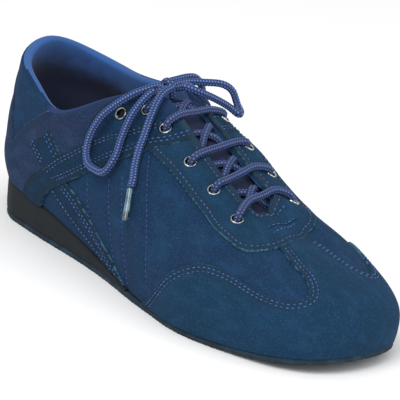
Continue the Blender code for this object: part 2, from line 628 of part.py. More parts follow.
def feather_outline(along, inset):
    """Lateral and medial plan points of the feather line, moved inwards."""
    lines = []
    for u in (along, LOOP - along):
        t = np.zeros(len(u))
        run = (surface(u + STEP_U, t) - surface(u - STEP_U, t))[:, :2]
        run /= np.linalg.norm(run, axis=1)[:, None]
        outward = np.stack([run[:, 1], -run[:, 0]], axis=1)
        lines.append(surface(u, t)[:, :2] - inset * outward)
    return lines


def slab(name, lateral, medial, low, high, finish):
    """A plate between two side lines, with under and upper faces at heights that depend on x."""
    points = []
    for left, right in zip(lateral, medial):
        points += [(*left, low(left[0])), (*right, low(right[0])),
                   (*right, high(right[0])), (*left, high(left[0]))]
    faces = [(0, 1, 2, 3)]
    for row in range(len(lateral) - 1):
        a = 4 * row
        for k in range(4):
            n = (k + 1) % 4
            faces.append((a + n, a + k, a + 4 + k, a + 4 + n))
    end = 4 * (len(lateral) - 1)
    faces.append((end + 3, end + 2, end + 1, end))
    made = add_mesh(name, points, faces, finish)
    work = bmesh.new()
    work.from_mesh(made.data)
    bmesh.ops.remove_doubles(work, verts=work.verts, dist=SAME_LINE * MM)
    bmesh.ops.dissolve_degenerate(work, edges=work.edges, dist=SAME_POINT * MM)
    bmesh.ops.recalc_face_normals(work, faces=work.faces)
    work.to_mesh(made.data)
    work.free()
    return made


def make_sole(suede, foam, sock):
    """Outsole, wedge and insole, all from the feather line."""
    along = U_LINES[U_LINES <= SIDE + SAME_POINT]
    lateral, medial = feather_outline(along, -OUTSOLE_PROUD)
    slab("outsole", lateral, medial, ground, lambda x: ground(x) + OUTSOLE_THICK, suede)
    wedge_end = along_side("mid", WEDGE_END_X)
    back = np.append(along[along < wedge_end - CORNER_ROOM], wedge_end)
    lateral, medial = feather_outline(back, -WEDGE_PROUD)
    slab("wedge", lateral, medial, lambda x: OUTSOLE_THICK + SEAM_GAP, seat, foam)
    lateral, medial = feather_outline(along, WALL + INSOLE_GAP)
    slab("insole", lateral, medial, lambda x: seat(x) + SEAM_GAP,
         lambda x: seat(x) + SEAM_GAP + INSOLE_THICK, sock)


def rib_through(x, y):
    """The rib that a plan point lies on, and the point's distance from that rib's foot."""
    if x <= TOE_AXIS_X:
        along = along_side("mid", x)
        reach = abs(y)
    else:
        reach = math.hypot(x - TOE_AXIS_X, y)
        along = along_side("toe", math.degrees(math.atan2(abs(y), x - TOE_AXIS_X)))
    return (along if y <= 0 else LOOP - along), reach


def place_over(x, y):
    """Place (u, t) of the upper's outer form over a plan point, or None over the throat."""
    u, reach = rib_through(x, y)
    t = np.linspace(BULGE_T, 1, ROOF_PROBES)
    radius, _ = rib_profile(rib_sizes(u), t[None, :])
    if reach < radius[0, -1]:
        return None
    return u, float(np.interp(reach, radius[0, ::-1], t[::-1]))


def roof(x, y):
    """Height of the upper's outer form over a plan point, or None over the throat."""
    place = place_over(x, y)
    return None if place is None else float(surface([place[0]], [place[1]])[0, 2])


def tongue_height(x, half):
    """The tongue's outer face across one x: level sides under the facings and a crown between them."""
    drop = WALL + SEAM_GAP + TONGUE_CLEAR
    places = np.linspace(-1, 1, TONGUE_PROBES)
    limits = []
    for place in places:
        over = roof(x, place * half)
        if over is None:
            continue
        near = roof(x, place * half * (1 + PROBE_STEP))
        lean = (over - near) / max(abs(place) * half * PROBE_STEP, SAME_POINT)
        limits.append((place, over - drop * math.hypot(1, lean)))
    left = limits[0][1]
    right = limits[-1][1]
    base = lambda place: left + (right - left) * (place + 1) / 2
    crown = min((limit - base(place)) / (1 - place**2) for place, limit in limits if abs(place) < PROBE_EDGE)
    return lambda place: base(place) + crown * (1 - place**2)


def tongue_rows():
    """Places along the tongue, each with its half width and its outer height across."""
    rows = []
    for share in np.linspace(0, 1, TONGUE_ROWS):
        x = TONGUE_FRONT_X + (TONGUE_TOP_X - TONGUE_FRONT_X) * share
        half = TONGUE_HALF_FRONT + (TONGUE_HALF_TOP - TONGUE_HALF_FRONT) * share
        rows.append((x, half, tongue_height(x, half)))
    return rows


def make_tongue(finish):
    """The tongue as a sheet of even thickness, square to its own length."""
    places = np.linspace(-1, 1, TONGUE_COLUMNS + 1)
    outer = np.array([[(x, half * place, height(place)) for place in places]
                      for x, half, height in tongue_rows()])
    along = np.gradient(outer, axis=0)
    across = np.gradient(outer, axis=1)
    normal = np.cross(across, along)
    normal /= np.linalg.norm(normal, axis=2)[..., None]
    normal *= np.sign(normal[..., 2:])
    inner = outer - normal * TONGUE_THICK
    rows, columns = outer.shape[:2]
    points = np.vstack([outer.reshape(-1, 3), inner.reshape(-1, 3)])
    count = rows * columns
    faces = []
    for i in range(rows - 1):
        for j in range(columns - 1):
            a = i * columns + j
            faces.append((a, a + 1, a + columns + 1, a + columns))
            faces.append((count + a, count + a + columns, count + a + columns + 1, count + a + 1))
    rim = list(range(columns - 1))
    rim += [i * columns + columns - 1 for i in range(rows - 1)]
    rim += [(rows - 1) * columns + j for j in range(columns - 1, 0, -1)]
    rim += [i * columns for i in range(rows - 1, 0, -1)]
    for a, b in zip(rim, rim[1:] + rim[:1]):
        faces.append((b, a, a + count, b + count))
    made = add_mesh("tongue", points, faces, finish)
    work = bmesh.new()
    work.from_mesh(made.data)
    bmesh.ops.recalc_face_normals(work, faces=work.faces)
    work.to_mesh(made.data)
    work.free()


def make_eyelets(finish):
    """Eyelets of both rows: a turned ring with a flange on the outside and a barrel through the hole."""
    crown = (EYELET_BORE + EYELET_FLANGE) / 2
    count = EYELET_CORNERS
    faces = []
    for side in range(EYELET_SIDES):
        here = side * count
        after = (side + 1) % EYELET_SIDES * count
        for k in range(count):
            n = (k + 1) % count
            faces.append((here + k, here + n, after + n, after + k))
    for row, lateral in (("lateral", True), ("medial", False)):
        for number in range(1, EYELET_PAIRS + 1):
            place = eyelet_seat(number, lateral)
            point, _, _, normal = eyelet_axes(place)
            backed = SEAM_GAP + OVERLAY_THICK if number <= EYELETS_ON_OVERLAY else 0
            base = backed + EYELET_CLEAR
            profile = [(EYELET_BORE, base + EYELET_RISE / 2), (crown, base + EYELET_RISE),
                       (EYELET_FLANGE, base), (EYELET_BARREL, base), (EYELET_BARREL, -WALL),
                       (EYELET_BORE, -WALL)]
            rings = [eyelet_ring(place, radius) + point + height * normal for radius, height in profile]
            points = np.stack(rings, axis=1).reshape(-1, 3)
            add_mesh(f"eyelet_{row}_{number}", points, faces, finish)


def evenly(points, spacing):
    """Points at even steps, near the given spacing, along a line."""
    points = np.asarray(points, float)
    length = np.append(0, np.cumsum(np.linalg.norm(np.diff(points, axis=0), axis=1)))
    steps = max(1, round(length[-1] / spacing))
    at = np.linspace(0, length[-1], steps + 1)
    return np.stack([np.interp(at, length, column) for column in points.T], axis=1)


def cord(name, route, radius, finish):
    """A round cord along a smooth curve through its route, with closed ends."""
    curve = bpy.data.curves.new(name, "CURVE")
    curve.dimensions = "3D"
    curve.bevel_depth = radius * MM
    curve.bevel_resolution = CORD_RESOLUTION
    curve.use_fill_caps = True
    line = evenly(smooth_path(route, CORD_SAMPLES), LACE_SPACING) * MM
    path = curve.splines.new("POLY")
    path.points.add(len(line) - 1)
    for point, place in zip(path.points, line):
        point.co = (*place, 1)
    curve.materials.append(finish)
    made = bpy.data.objects.new(name, curve)
    bpy.context.scene.collection.objects.link(made)
    return made


def taut(points):
    """The points that a string drawn tight over the others touches, seen along the shoe."""
    line = []
    for point in points:
        while len(line) > 1:
            (_, y0, z0), (_, y1, z1) = line[-2:]
            if (y1 - y0) * (point[2] - z0) < (z1 - z0) * (point[1] - y0):
                break
            line.pop()
        line.append(point)
    return line


def bar_route(number):
    """Centre line of the lace from a lateral eyelet over the throat to the medial one."""
    lift = SEAM_GAP + OVERLAY_THICK + EYELET_CLEAR + EYELET_RISE + SEAM_GAP + LACE_RADIUS
    start = eyelet_axes(eyelet_seat(number, True))[0]
    end = eyelet_axes(eyelet_seat(number, False))[0]
    touched = []
    for share in np.linspace(0, 1, BAR_PROBES):
        x, y, _ = start + (end - start) * share
        place = place_over(x, y)
        if place is not None:
            point, _, _, normal = surface_frame([place[0]], [place[1]])
            touched.append(point[0] + normal[0] * lift)
    line = taut(touched)
    return evenly(line, np.linalg.norm(end - start) / BAR_POINTS)


def as_mesh(made):
    """The same object with its curve turned into a mesh."""
    mesh = bpy.data.meshes.new_from_object(made.evaluated_get(bpy.context.evaluated_depsgraph_get()))
    meshed = bpy.data.objects.new(made.name + "_mesh", mesh)
    bpy.context.scene.collection.objects.link(meshed)
    name = made.name
    bpy.data.objects.remove(made)
    meshed.name = name
    return meshed


def make_lace(lace, clear):
    """Bars over the throat, crossings under them on the tongue, and the bow."""
    for number in range(1, LACED_EYELETS + 1):
        cord(f"lace_bar_{number}", bar_route(number), LACE_RADIUS, lace)
    front_to_top = TONGUE_FRONT_X - TONGUE_TOP_X
    for number in range(1, LACED_EYELETS + 1):
        ahead = eyelet_axes(eyelet_seat(number, True))[0]
        behind = eyelet_axes(eyelet_seat(number + 1, True))[0]
        middle = (ahead[0] + behind[0]) / 2
        reach = (ahead[0] - behind[0]) / 2 * CROSS_HALF / abs(ahead[1])
        strands = []
        for side, rise in ((-1, CROSS_RISE), (1, 0.0)):
            ends = []
            for x, sway in ((middle - reach, -side * CROSS_HALF), (middle + reach, side * CROSS_HALF)):
                y = CROSS_MIDDLE_Y + sway
                share = (TONGUE_FRONT_X - x) / front_to_top
                half = TONGUE_HALF_FRONT + (TONGUE_HALF_TOP - TONGUE_HALF_FRONT) * share
                slope = tongue_height(x - 1, half)(0) - tongue_height(x, half)(0)
                lift = (SEAM_GAP + LACE_RADIUS) * math.hypot(1, slope) + SEAM_GAP + rise
                ends.append((x, y, tongue_height(x, half)(0) + lift))
            strands.append(as_mesh(cord(f"lace_cross_{number}_{side}", ends, LACE_RADIUS, lace)))
        kept, joined = strands
        kept.name = f"lace_cross_{number}"
        joined.hide_render = True
        joined.display_type = "WIRE"
        union = kept.modifiers.new("joined", "BOOLEAN")
        union.operation = "UNION"
        union.solver = "EXACT"
        union.object = joined
    cord("lace_knot", KNOT, KNOT_RADIUS, lace)
    cord("lace_loop_lateral", LOOP_LATERAL, LACE_RADIUS, lace)
    cord("lace_loop_medial", LOOP_MEDIAL, LACE_RADIUS, lace)
    cord("lace_end_lateral", END_LATERAL, LACE_RADIUS, lace)
    cord("lace_end_medial", END_MEDIAL, LACE_RADIUS, lace)
    cord("aglet_lateral", AGLET_LATERAL, AGLET_RADIUS, clear)
    cord("aglet_medial", AGLET_MEDIAL, AGLET_RADIUS, clear)


def main():
    """Clear the scene and make every piece."""
    for old in list(bpy.data.objects):
        bpy.data.objects.remove(old)
    suede = material("navy_suede", (0.022, 0.066, 0.14), 0.9)
    nubuck = material("violet_nubuck", (0.032, 0.06, 0.13), 0.9)
    foam = material("black_foam", (0.02, 0.022, 0.025), 0.7)
    sole_suede = material("black_suede", (0.03, 0.033, 0.036), 0.95)
    lining = material("lining", (0.03, 0.08, 0.25), 0.9)
    make_sole(sole_suede, foam, lining)
    make_upper(suede)
    make_tongue(lining)
    make_overlays(suede, nubuck)
    make_eyelets(material("eyelet_metal", (0.35, 0.37, 0.36), 0.3, 1.0))
    lace = material("lace_braid", (0.03, 0.055, 0.14), 0.8)
    make_lace(lace, material("aglet_film", (0.45, 0.5, 0.52), 0.2))


main()
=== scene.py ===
import logging
import math
from collections.abc import Callable
from dataclasses import dataclass, field
from enum import Enum

import bpy
import numpy as np
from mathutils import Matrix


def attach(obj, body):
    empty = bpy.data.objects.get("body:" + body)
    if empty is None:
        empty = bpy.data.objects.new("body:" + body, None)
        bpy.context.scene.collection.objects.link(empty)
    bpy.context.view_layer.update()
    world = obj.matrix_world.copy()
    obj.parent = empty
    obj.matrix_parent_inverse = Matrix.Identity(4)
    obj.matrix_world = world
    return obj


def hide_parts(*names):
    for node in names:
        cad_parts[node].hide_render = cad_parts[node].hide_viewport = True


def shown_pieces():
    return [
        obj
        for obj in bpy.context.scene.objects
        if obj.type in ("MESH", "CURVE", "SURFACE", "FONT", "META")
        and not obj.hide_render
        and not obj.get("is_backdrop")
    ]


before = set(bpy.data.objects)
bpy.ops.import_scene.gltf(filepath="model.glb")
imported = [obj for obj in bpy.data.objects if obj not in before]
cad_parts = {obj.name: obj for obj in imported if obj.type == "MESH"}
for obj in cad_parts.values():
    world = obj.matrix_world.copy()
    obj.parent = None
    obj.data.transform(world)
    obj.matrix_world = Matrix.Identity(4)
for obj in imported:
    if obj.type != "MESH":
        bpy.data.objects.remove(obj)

Array = np.ndarray
Height = Callable[[Array], Array]
Socket = bpy.types.NodeSocket

MM = 0.001
BODY = "root"
RIB_MM = 70.0
# Half steps for slopes of the form, along u and up t
PROBE_U_MM = 0.3
PROBE_T = 0.004
NO_EDGE = 99.0
LOG = logging.getLogger("dance_shoe")


class Side(Enum):
    """Outer and inner side of the right foot."""

    LATERAL = "lateral"
    MEDIAL = "medial"


def hermite(points: Array, samples: int = 24) -> Array:
    """Points on a smooth curve: cubic pieces through the given points, with central slopes.

    Args:
        points: rows of places that the curve goes through.
        samples: steps between two neighbours.
    Returns:
        Rows of places along the curve.
    """
    points = np.asarray(points, float)
    slope = np.gradient(points, axis=0)
    s = np.linspace(0, 1, samples, endpoint=False)[None, :, None]
    start, end, leave, reach = points[:-1, None], points[1:, None], slope[:-1, None], slope[1:, None]
    curve = ((2 * s**3 - 3 * s**2 + 1) * start + (s**3 - 2 * s**2 + s) * leave
             + (3 * s**2 - 2 * s**3) * end + (s**3 - s**2) * reach)
    return np.vstack([curve.reshape(-1, points.shape[1]), points[-1:]])


def run_length(points: Array) -> Array:
    """Distance along a line at each of its points."""
    return np.append(0, np.cumsum(np.linalg.norm(np.diff(points, axis=0), axis=1)))


def at_shares(points: Array, shares: Array) -> Array:
    """Points of a line at shares of its length.

    Args:
        points: rows of places along the line.
        shares: shares from 0 at its start to 1 at its end.
    Returns:
        Rows of places.
    """
    length = run_length(points)
    return np.stack([np.interp(shares * length[-1], length, column) for column in points.T], axis=1)


def on_rib(line: Array, shares: Array, paired: bool = False) -> Array:
    """Places of a line of (u, t) at shares of its length on the form.

    Args:
        line: rows of (u, t) places.
        shares: shares from 0 at its start to 1 at its end.
        paired: count the shares by the line's own rows instead.
    Returns:
        Rows of (u, t) places.
    """
    if paired:
        rows = shares * (len(line) - 1)
        return np.stack([np.interp(rows, np.arange(len(line)), column) for column in line.T], axis=1)
    return at_shares(line * (1, RIB_MM), shares) / (1, RIB_MM)


def smooth_step(value: Array, low: float, high: float) -> Array:
    """0 below low, 1 above high, and an even S between them."""
    share = np.clip((value - low) / (high - low), 0, 1)
    return share**2 * (3 - 2 * share)


def unit(vectors: Array) -> Array:
    """Vectors of length 1 along the last axis."""
    return vectors / np.maximum(np.linalg.norm(vectors, axis=-1, keepdims=True), 1e-12)


def linear(code: str) -> tuple[float, float, float, float]:
    """An sRGB hex colour as linear light with full alpha."""
    parts = np.array([int(code[k:k + 2], 16) for k in (1, 3, 5)]) / 255
    light = np.where(parts <= 0.04045, parts / 12.92, ((parts + 0.055) / 1.055)**2.4)
    return (*(float(part) for part in light), 1.0)


def add(tree: bpy.types.NodeTree, kind: str, inputs: dict | None = None,
        **settings: object) -> bpy.types.Node:
    """A shader node with its settings, and its inputs set to values or linked to sockets.

    Args:
        tree: node tree of the material.
        kind: node type without its common first part.
        inputs: values or sockets by the input's name or number.
        settings: properties of the node.
    Returns:
        The new node.
    """
    node = tree.nodes.new("ShaderNode" + kind)
    for name, value in settings.items():
        setattr(node, name, value)
    for key, value in (inputs or {}).items():
        if isinstance(value, Socket):
            tree.links.new(value, node.inputs[key])
        else:
            node.inputs[key].default_value = value
    return node


def new_material(name: str) -> tuple[bpy.types.Material, bpy.types.NodeTree, bpy.types.Node]:
    """A material, its node tree and its main shader."""
    material = bpy.data.materials.new(name)
    material.use_nodes = True
    return material, material.node_tree, material.node_tree.nodes["Principled BSDF"]


def noise(tree: bpy.types.NodeTree, size: float, detail: float = 3.0, stretch: tuple = (1, 1, 1)) -> Socket:
    """Cloudy noise on the object's own places.

    Args:
        tree: node tree of the material.
        size: size of the spots in mm.
        detail: layers of finer spots.
        stretch: scale along the shoe's axes; below 1 draws the spots out.
    Returns:
        The noise, about 0 to 1.
    """
    place = add(tree, "TexCoord").outputs["Object"]
    spread = add(tree, "Mapping", {"Vector": place, "Scale": stretch}).outputs[0]
    return add(tree, "TexNoise", {"Vector": spread, "Scale": 1 / (size * MM), "Detail": detail}).outputs[0]


def ramp(tree: bpy.types.NodeTree, value: Socket, low: float, high: float, top: float = 1.0) -> Socket:
    """0 at low, rising in an S to top at high."""
    return add(tree, "MapRange", {"Value": value, "From Min": low, "From Max": high, "To Max": top},
               interpolation_type="SMOOTHSTEP").outputs[0]


def mix(tree: bpy.types.NodeTree, share: Socket, first: object, second: object) -> Socket:
    """First colour where share is 0, second where it is 1."""
    return add(tree, "Mix", {0: share, 6: first, 7: second}, data_type="RGBA").outputs[2]


def attribute(tree: bpy.types.NodeTree, name: str) -> Socket:
    """A number stored on the mesh's points."""
    return add(tree, "Attribute", attribute_name=name).outputs["Fac"]


@dataclass(frozen=True)
class Suede:
    """Napped leather: soft cloudy patches, fine nap, pale flecks, pale cut edges, and painted shade darkening
    the stitched margins.
    """

    name: str
    colour: str
    shade: str
    fleck: str
    rim: str
    # band: painted shade colour that the stitched margin along each cut is darkened towards
    band: str
    collar: str = "#2a3a62"
    patch_mm: float = 16.0
    nap_mm: float = 0.7
    nap_depth_mm: float = 0.25
    brush_mm: float = 5.0
    wear_mm: float = 1.6
    shade_band_start_mm: float = 5.2
    shade_band_full_mm: float = 3.6
    sheen: float = 0.1

    def make(self) -> bpy.types.Material:
        """Build the finish.

        Returns:
            The material.
        """
        material, tree, shader = new_material(self.name)
        patch = noise(tree, self.patch_mm, 4.0)
        brushed = noise(tree, self.brush_mm, 3.0, (0.45, 1, 1))
        nap = noise(tree, self.nap_mm, 2.0)
        colour = mix(tree, ramp(tree, patch, 0.34, 0.68), linear(self.colour), linear(self.shade))
        colour = mix(tree, ramp(tree, brushed, 0.42, 0.8, 0.25), colour, linear(self.fleck))
        colour = mix(tree, ramp(tree, nap, 0.46, 0.8, 0.55), colour, linear(self.fleck))
        colour = mix(tree, attribute(tree, "violet"), colour, linear(self.collar))
        edge = attribute(tree, "edge")
        # Painted shade: the stitched margin near a cut is darkened towards the band colour
        band = ramp(tree, edge, self.shade_band_start_mm, self.shade_band_full_mm, 0.6)
        colour = mix(tree, band, colour, linear(self.band))
        worn = add(tree, "Math", {0: edge, 1: noise(tree, self.wear_mm, 2.0)}, operation="ADD").outputs[0]
        bare = ramp(tree, worn, 0.85, 0.45)
        pale = add(tree, "Math", {0: bare, 1: attribute(tree, "pale")}, operation="MULTIPLY")
        colour = mix(tree, pale.outputs[0], colour, linear(self.rim))
        tree.links.new(colour, shader.inputs["Base Color"])
        bump = add(tree, "Bump", {"Strength": 0.45, "Distance": self.nap_depth_mm * MM, "Height": nap})
        tree.links.new(bump.outputs[0], shader.inputs["Normal"])
        shader.inputs["Roughness"].default_value = 0.95
        shader.inputs["Specular IOR Level"].default_value = 0.15
        shader.inputs["Sheen Weight"].default_value = self.sheen
        shader.inputs["Sheen Roughness"].default_value = 0.5
        shader.inputs["Sheen Tint"].default_value = linear(self.fleck)
        return material


@dataclass(frozen=True)
class Lining:
    """Brushed blue knit, bright at the collar's roll and darker deeper in the shoe: partly the lining's own
    navy, partly painted shade of the shoe's inside.
    """

    name: str = "brushed_knit_lining"
    bright: str = "#365c96"
    dark: str = "#2a3148"
    cloud_mm: float = 9.0
    wander_mm: float = 5.0
    bright_to_mm: float = 6.0
    dark_from_mm: float = 25.0
    knit_mm: float = 0.8
    knit_depth_mm: float = 0.3

    def make(self) -> bpy.types.Material:
        """Build the finish.

        Returns:
            The material.
        """
        material, tree, shader = new_material(self.name)
        wander = ramp(tree, noise(tree, self.cloud_mm), 0.3, 0.7, self.wander_mm)
        depth = add(tree, "Math", {0: attribute(tree, "depth"), 1: wander}, operation="ADD").outputs[0]
        # Partly painted shade: the colour darkens with depth into the shoe, past the bright collar roll
        deep = ramp(tree, depth, self.bright_to_mm, self.dark_from_mm)
        colour = mix(tree, deep, linear(self.bright), linear(self.dark))
        tree.links.new(colour, shader.inputs["Base Color"])
        bump = add(tree, "Bump", {"Strength": 0.4, "Distance": self.knit_depth_mm * MM,
                                  "Height": noise(tree, self.knit_mm, 2.0)})
        tree.links.new(bump.outputs[0], shader.inputs["Normal"])
        shader.inputs["Roughness"].default_value = 0.95
        shader.inputs["Specular IOR Level"].default_value = 0.1
        shader.inputs["Sheen Weight"].default_value = 0.1
        return material


@dataclass(frozen=True)
class Matte:
    """Plain dull stuff with a cloudy colour and a fine rough grain, such as foam or split suede."""

    name: str
    colour: str
    shade: str
    patch_mm: float
    grain_mm: float
    roughness: float
    depth_mm: float = 0.2

    def make(self) -> bpy.types.Material:
        """Build the finish.

        Returns:
            The material.
        """
        material, tree, shader = new_material(self.name)
        cloud = ramp(tree, noise(tree, self.patch_mm, 4.0), 0.35, 0.7)
        tree.links.new(mix(tree, cloud, linear(self.colour), linear(self.shade)), shader.inputs["Base Color"])
        bump = add(tree, "Bump", {"Strength": 0.5, "Distance": self.depth_mm * MM,
                                  "Height": noise(tree, self.grain_mm, 3.0)})
        tree.links.new(bump.outputs[0], shader.inputs["Normal"])
        shader.inputs["Roughness"].default_value = self.roughness
        shader.inputs["Specular IOR Level"].default_value = 0.25
        return material


@dataclass(frozen=True)
class Metal:
    """Plated steel, polished by the lace, with fine rubbing marks."""

    name: str = "plated_eyelet_steel"
    colour: str = "#c6c8c2"
    tarnish: str = "#6a6d68"
    rub_mm: float = 1.5
    scratch_mm: float = 0.6

    def make(self) -> bpy.types.Material:
        """Build the finish.

        Returns:
            The material.
        """
        material, tree, shader = new_material(self.name)
        rubbed = ramp(tree, noise(tree, self.rub_mm), 0.4, 0.7)
        colour = mix(tree, rubbed, linear(self.colour), linear(self.tarnish))
        tree.links.new(colour, shader.inputs["Base Color"])
        tree.links.new(ramp(tree, noise(tree, self.scratch_mm), 0.2, 1.2, 0.6), shader.inputs["Roughness"])
        shader.inputs["Metallic"].default_value = 1.0
        return material


@dataclass(frozen=True)
class Braid:
    """Braided yarn: light beads of yarn, dark between them, partly the navy yarn and partly painted shade of
    the hollows, faintly shiny.
    """

    name: str
    light: str
    dark: str
    fibre_mm: float = 0.3
    fibre_depth_mm: float = 0.1

    def make(self) -> bpy.types.Material:
        """Build the finish.

        Returns:
            The material.
        """
        material, tree, shader = new_material(self.name)
        # Colour follows the bead height: the hollows between beads get painted shade
        bead = ramp(tree, attribute(tree, "bead"), 0.2, 0.65)
        colour = mix(tree, bead, linear(self.dark), linear(self.light))
        tree.links.new(colour, shader.inputs["Base Color"])
        bump = add(tree, "Bump", {"Strength": 0.3, "Distance": self.fibre_depth_mm * MM,
                                  "Height": noise(tree, self.fibre_mm, 2.0)})
        tree.links.new(bump.outputs[0], shader.inputs["Normal"])
        shader.inputs["Roughness"].default_value = 0.7
        shader.inputs["Sheen Weight"].default_value = 0.05
        return material


@dataclass(frozen=True)
class Film:
    """Clear glossy film rolled tight on the end of the lace."""

    name: str = "clear_aglet_film"
    colour: str = "#4d7886"
    yarn: str = "#142833"
    cloud_mm: float = 3.0

    def make(self) -> bpy.types.Material:
        """Build the finish.

        Returns:
            The material.
        """
        material, tree, shader = new_material(self.name)
        cloud = ramp(tree, noise(tree, self.cloud_mm), 0.35, 0.65)
        tree.links.new(mix(tree, cloud, linear(self.yarn), linear(self.colour)), shader.inputs["Base Color"])
        shader.inputs["Roughness"].default_value = 0.12
        shader.inputs["Coat Weight"].default_value = 1.0
        shader.inputs["Coat Roughness"].default_value = 0.05
        return material


class Finishes:
    """Every finish of the shoe, made once."""

    def __init__(self) -> None:
        """Make the materials."""
        # Navy suede of vamp, quarters and heel tab: even, with a green cast
        self.suede = Suede("navy_suede", "#132f4a", "#152b47", "#275078", "#4d86a3", "#1b2d40").make()
        # Suede of straps, eyestay and cap: the same hide, darker and greener, with pale cut edges
        self.overlay = Suede("teal_overlay_suede", "#123048", "#14324e", "#265070", "#56899f", "#1c2e3e",
                             collar="#33434f").make()
        # Suede of the crossing straps: darker again
        self.strap = Suede("dark_strap_suede", "#0d263c", "#0f2943", "#1f4868", "#4c7d92", "#1a2a38",
                           collar="#33434f").make()
        # Nubuck of counter and backstay: brushed to violet patches
        self.nubuck = Suede("violet_nubuck", "#182c46", "#222c48", "#375074", "#6678a0", "#1a2a43",
                            patch_mm=9.0, sheen=0.15).make()
        # Tongue: dark, dull microsuede
        self.tongue = Suede("dark_tongue_suede", "#283048", "#2a2e46", "#333b54", "#333b54", "#283048").make()
        # Lining: brushed knit, bright at the collar's roll, darker deeper in the shoe, partly painted shade
        self.lining = Lining().make()
        # Wedge: dull moulded foam, charcoal
        self.foam = Matte("charcoal_wedge_foam", "#1c2125", "#191e22", 12.0, 0.9, 0.85).make()
        # Outsole: split suede, its cut edge a little lighter than the wedge
        self.split = Matte("black_split_suede", "#222f3a", "#2b3f4e", 6.0, 0.5, 1.0, 0.35).make()
        # Eyelets: plated steel with small sharp lights
        self.metal = Metal().make()
        # Sewing thread: bright blue, each stitch worn to its own shade, with painted shade at its ends
        self.thread = Braid("blue_sewing_thread", "#3a66ab", "#203a66").make()
        # Thread of the quarters' folds: more violet, sunk in the nap
        self.fold_thread = Braid("violet_sewing_thread", "#35498c", "#263465").make()
        # Slit at the throat's front: near-black thread packed close, painted shade of the slit
        self.slit = Matte("slit_shade_thread", "#121a30", "#0e1526", 2.0, 0.4, 0.9).make()
        # Bow: braided lace with light ticks of yarn on navy, the hollows darkened with painted shade
        self.bow_lace = Braid("periwinkle_bow_braid", "#4f78c2", "#152750").make()
        # Laced part: the same braid, made duller between the facings with painted shade
        self.lace = Braid("navy_lace_braid_shaded", "#4868aa", "#1a264a").make()
        # Aglets: clear film over dark yarn, sharply glossy
        self.film = Film().make()


def grid_faces(rows: int, columns: int, wrap_rows: bool = False, wrap_columns: bool = False) -> Array:
    """Quads between neighbours of a grid of points that is numbered row by row.

    Args:
        rows: number of rows.
        columns: number of points in a row.
        wrap_rows: also join the last row to the first.
        wrap_columns: also join the last column to the first.
    Returns:
        Rows of four point numbers, turned from columns towards rows.
    """
    i = np.arange(rows if wrap_rows else rows - 1)[:, None]
    j = np.arange(columns if wrap_columns else columns - 1)[None, :]
    below, after = (i + 1) % rows, (j + 1) % columns
    corners = [i * columns + j, i * columns + after, below * columns + after, below * columns + j]
    return np.stack([np.broadcast_to(c, (i.size, j.size)) for c in corners], axis=-1).reshape(-1, 4)


def sheet_faces(rows: int, columns: int) -> Array:
    """Faces of a closed sheet: the outer grid, the inner grid turned over, and the rim between them.

    Args:
        rows: number of rows of either grid.
        columns: number of points in a row.
    Returns:
        Rows of four point numbers, the inner grid's points numbered after the outer ones.
    """
    total = rows * columns
    index = np.arange(total).reshape(rows, columns)
    ring = np.concatenate([index[0], index[1:, -1], index[-1, -2::-1], index[-2:0:-1, 0]])
    after = np.roll(ring, -1)
    sheet = grid_faces(rows, columns)
    rim = np.stack([after, ring, ring + total, after + total], axis=1)
    return np.vstack([sheet, sheet[:, ::-1] + total, rim])


def pick(grid: Array, number: Array) -> Array:
    """Value of each row of a grid at its own column number."""
    return np.take_along_axis(grid, number, axis=-1)[..., 0]


def across_heel(line: Array) -> Array:
    """A line of lateral (u, t) places, carried on across the heel to its mirror image."""
    return np.vstack([(line * (-1, 1))[:0:-1], line])


def make_piece(name: str, points: Array, faces: Array, materials: list, nodes: tuple = (),
               values: dict | None = None, shades: Array | None = None) -> bpy.types.Object:
    """A finished mesh that rides on the shoe.

    Args:
        name: piece name.
        points: places in mm, any grid shape with three numbers last.
        faces: rows of four point numbers, the last equal to the third in a triangle.
        materials: materials by number.
        nodes: CAD nodes that the piece stands for.
        values: numbers to store on the points, by name.
        shades: material number of each face, or none for the first.
    Returns:
        The new object.
    """
    points = np.asarray(points, float).reshape(-1, 3) * MM
    triangle = faces[:, 2] == faces[:, 3]
    sizes = np.where(triangle, 3, 4)
    corners = faces[np.arange(4)[None, :] < sizes[:, None]]
    mesh = bpy.data.meshes.new(name)
    mesh.vertices.add(len(points))
    mesh.vertices.foreach_set("co", points.astype(np.float32).ravel())
    mesh.loops.add(len(corners))
    mesh.loops.foreach_set("vertex_index", corners.astype(np.int32))
    mesh.polygons.add(len(faces))
    mesh.polygons.foreach_set("loop_start", np.append(0, np.cumsum(sizes)[:-1]).astype(np.int32))
    mesh.polygons.foreach_set("use_smooth", np.ones(len(faces), bool))
    for material in materials:
        mesh.materials.append(material)
    if shades is not None:
        mesh.polygons.foreach_set("material_index", shades.astype(np.int32))
    for key, numbers in (values or {}).items():
        layer = mesh.attributes.new(key, "FLOAT", "POINT")
        layer.data.foreach_set("value", np.asarray(numbers, np.float32).ravel())
    mesh.update(calc_edges=True)
    mesh.validate()
    piece = bpy.data.objects.new(name, mesh)
    bpy.context.scene.collection.objects.link(piece)
    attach(piece, BODY)
    if nodes:
        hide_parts(*nodes)
    return piece


@dataclass(frozen=True)
class Crease:
    """A soft trough or ridge along a line of (along, up) places; a negative rise is a trough."""

    line: tuple
    rise: float
    width: float
    sides: tuple = (Side.LATERAL, Side.MEDIAL)


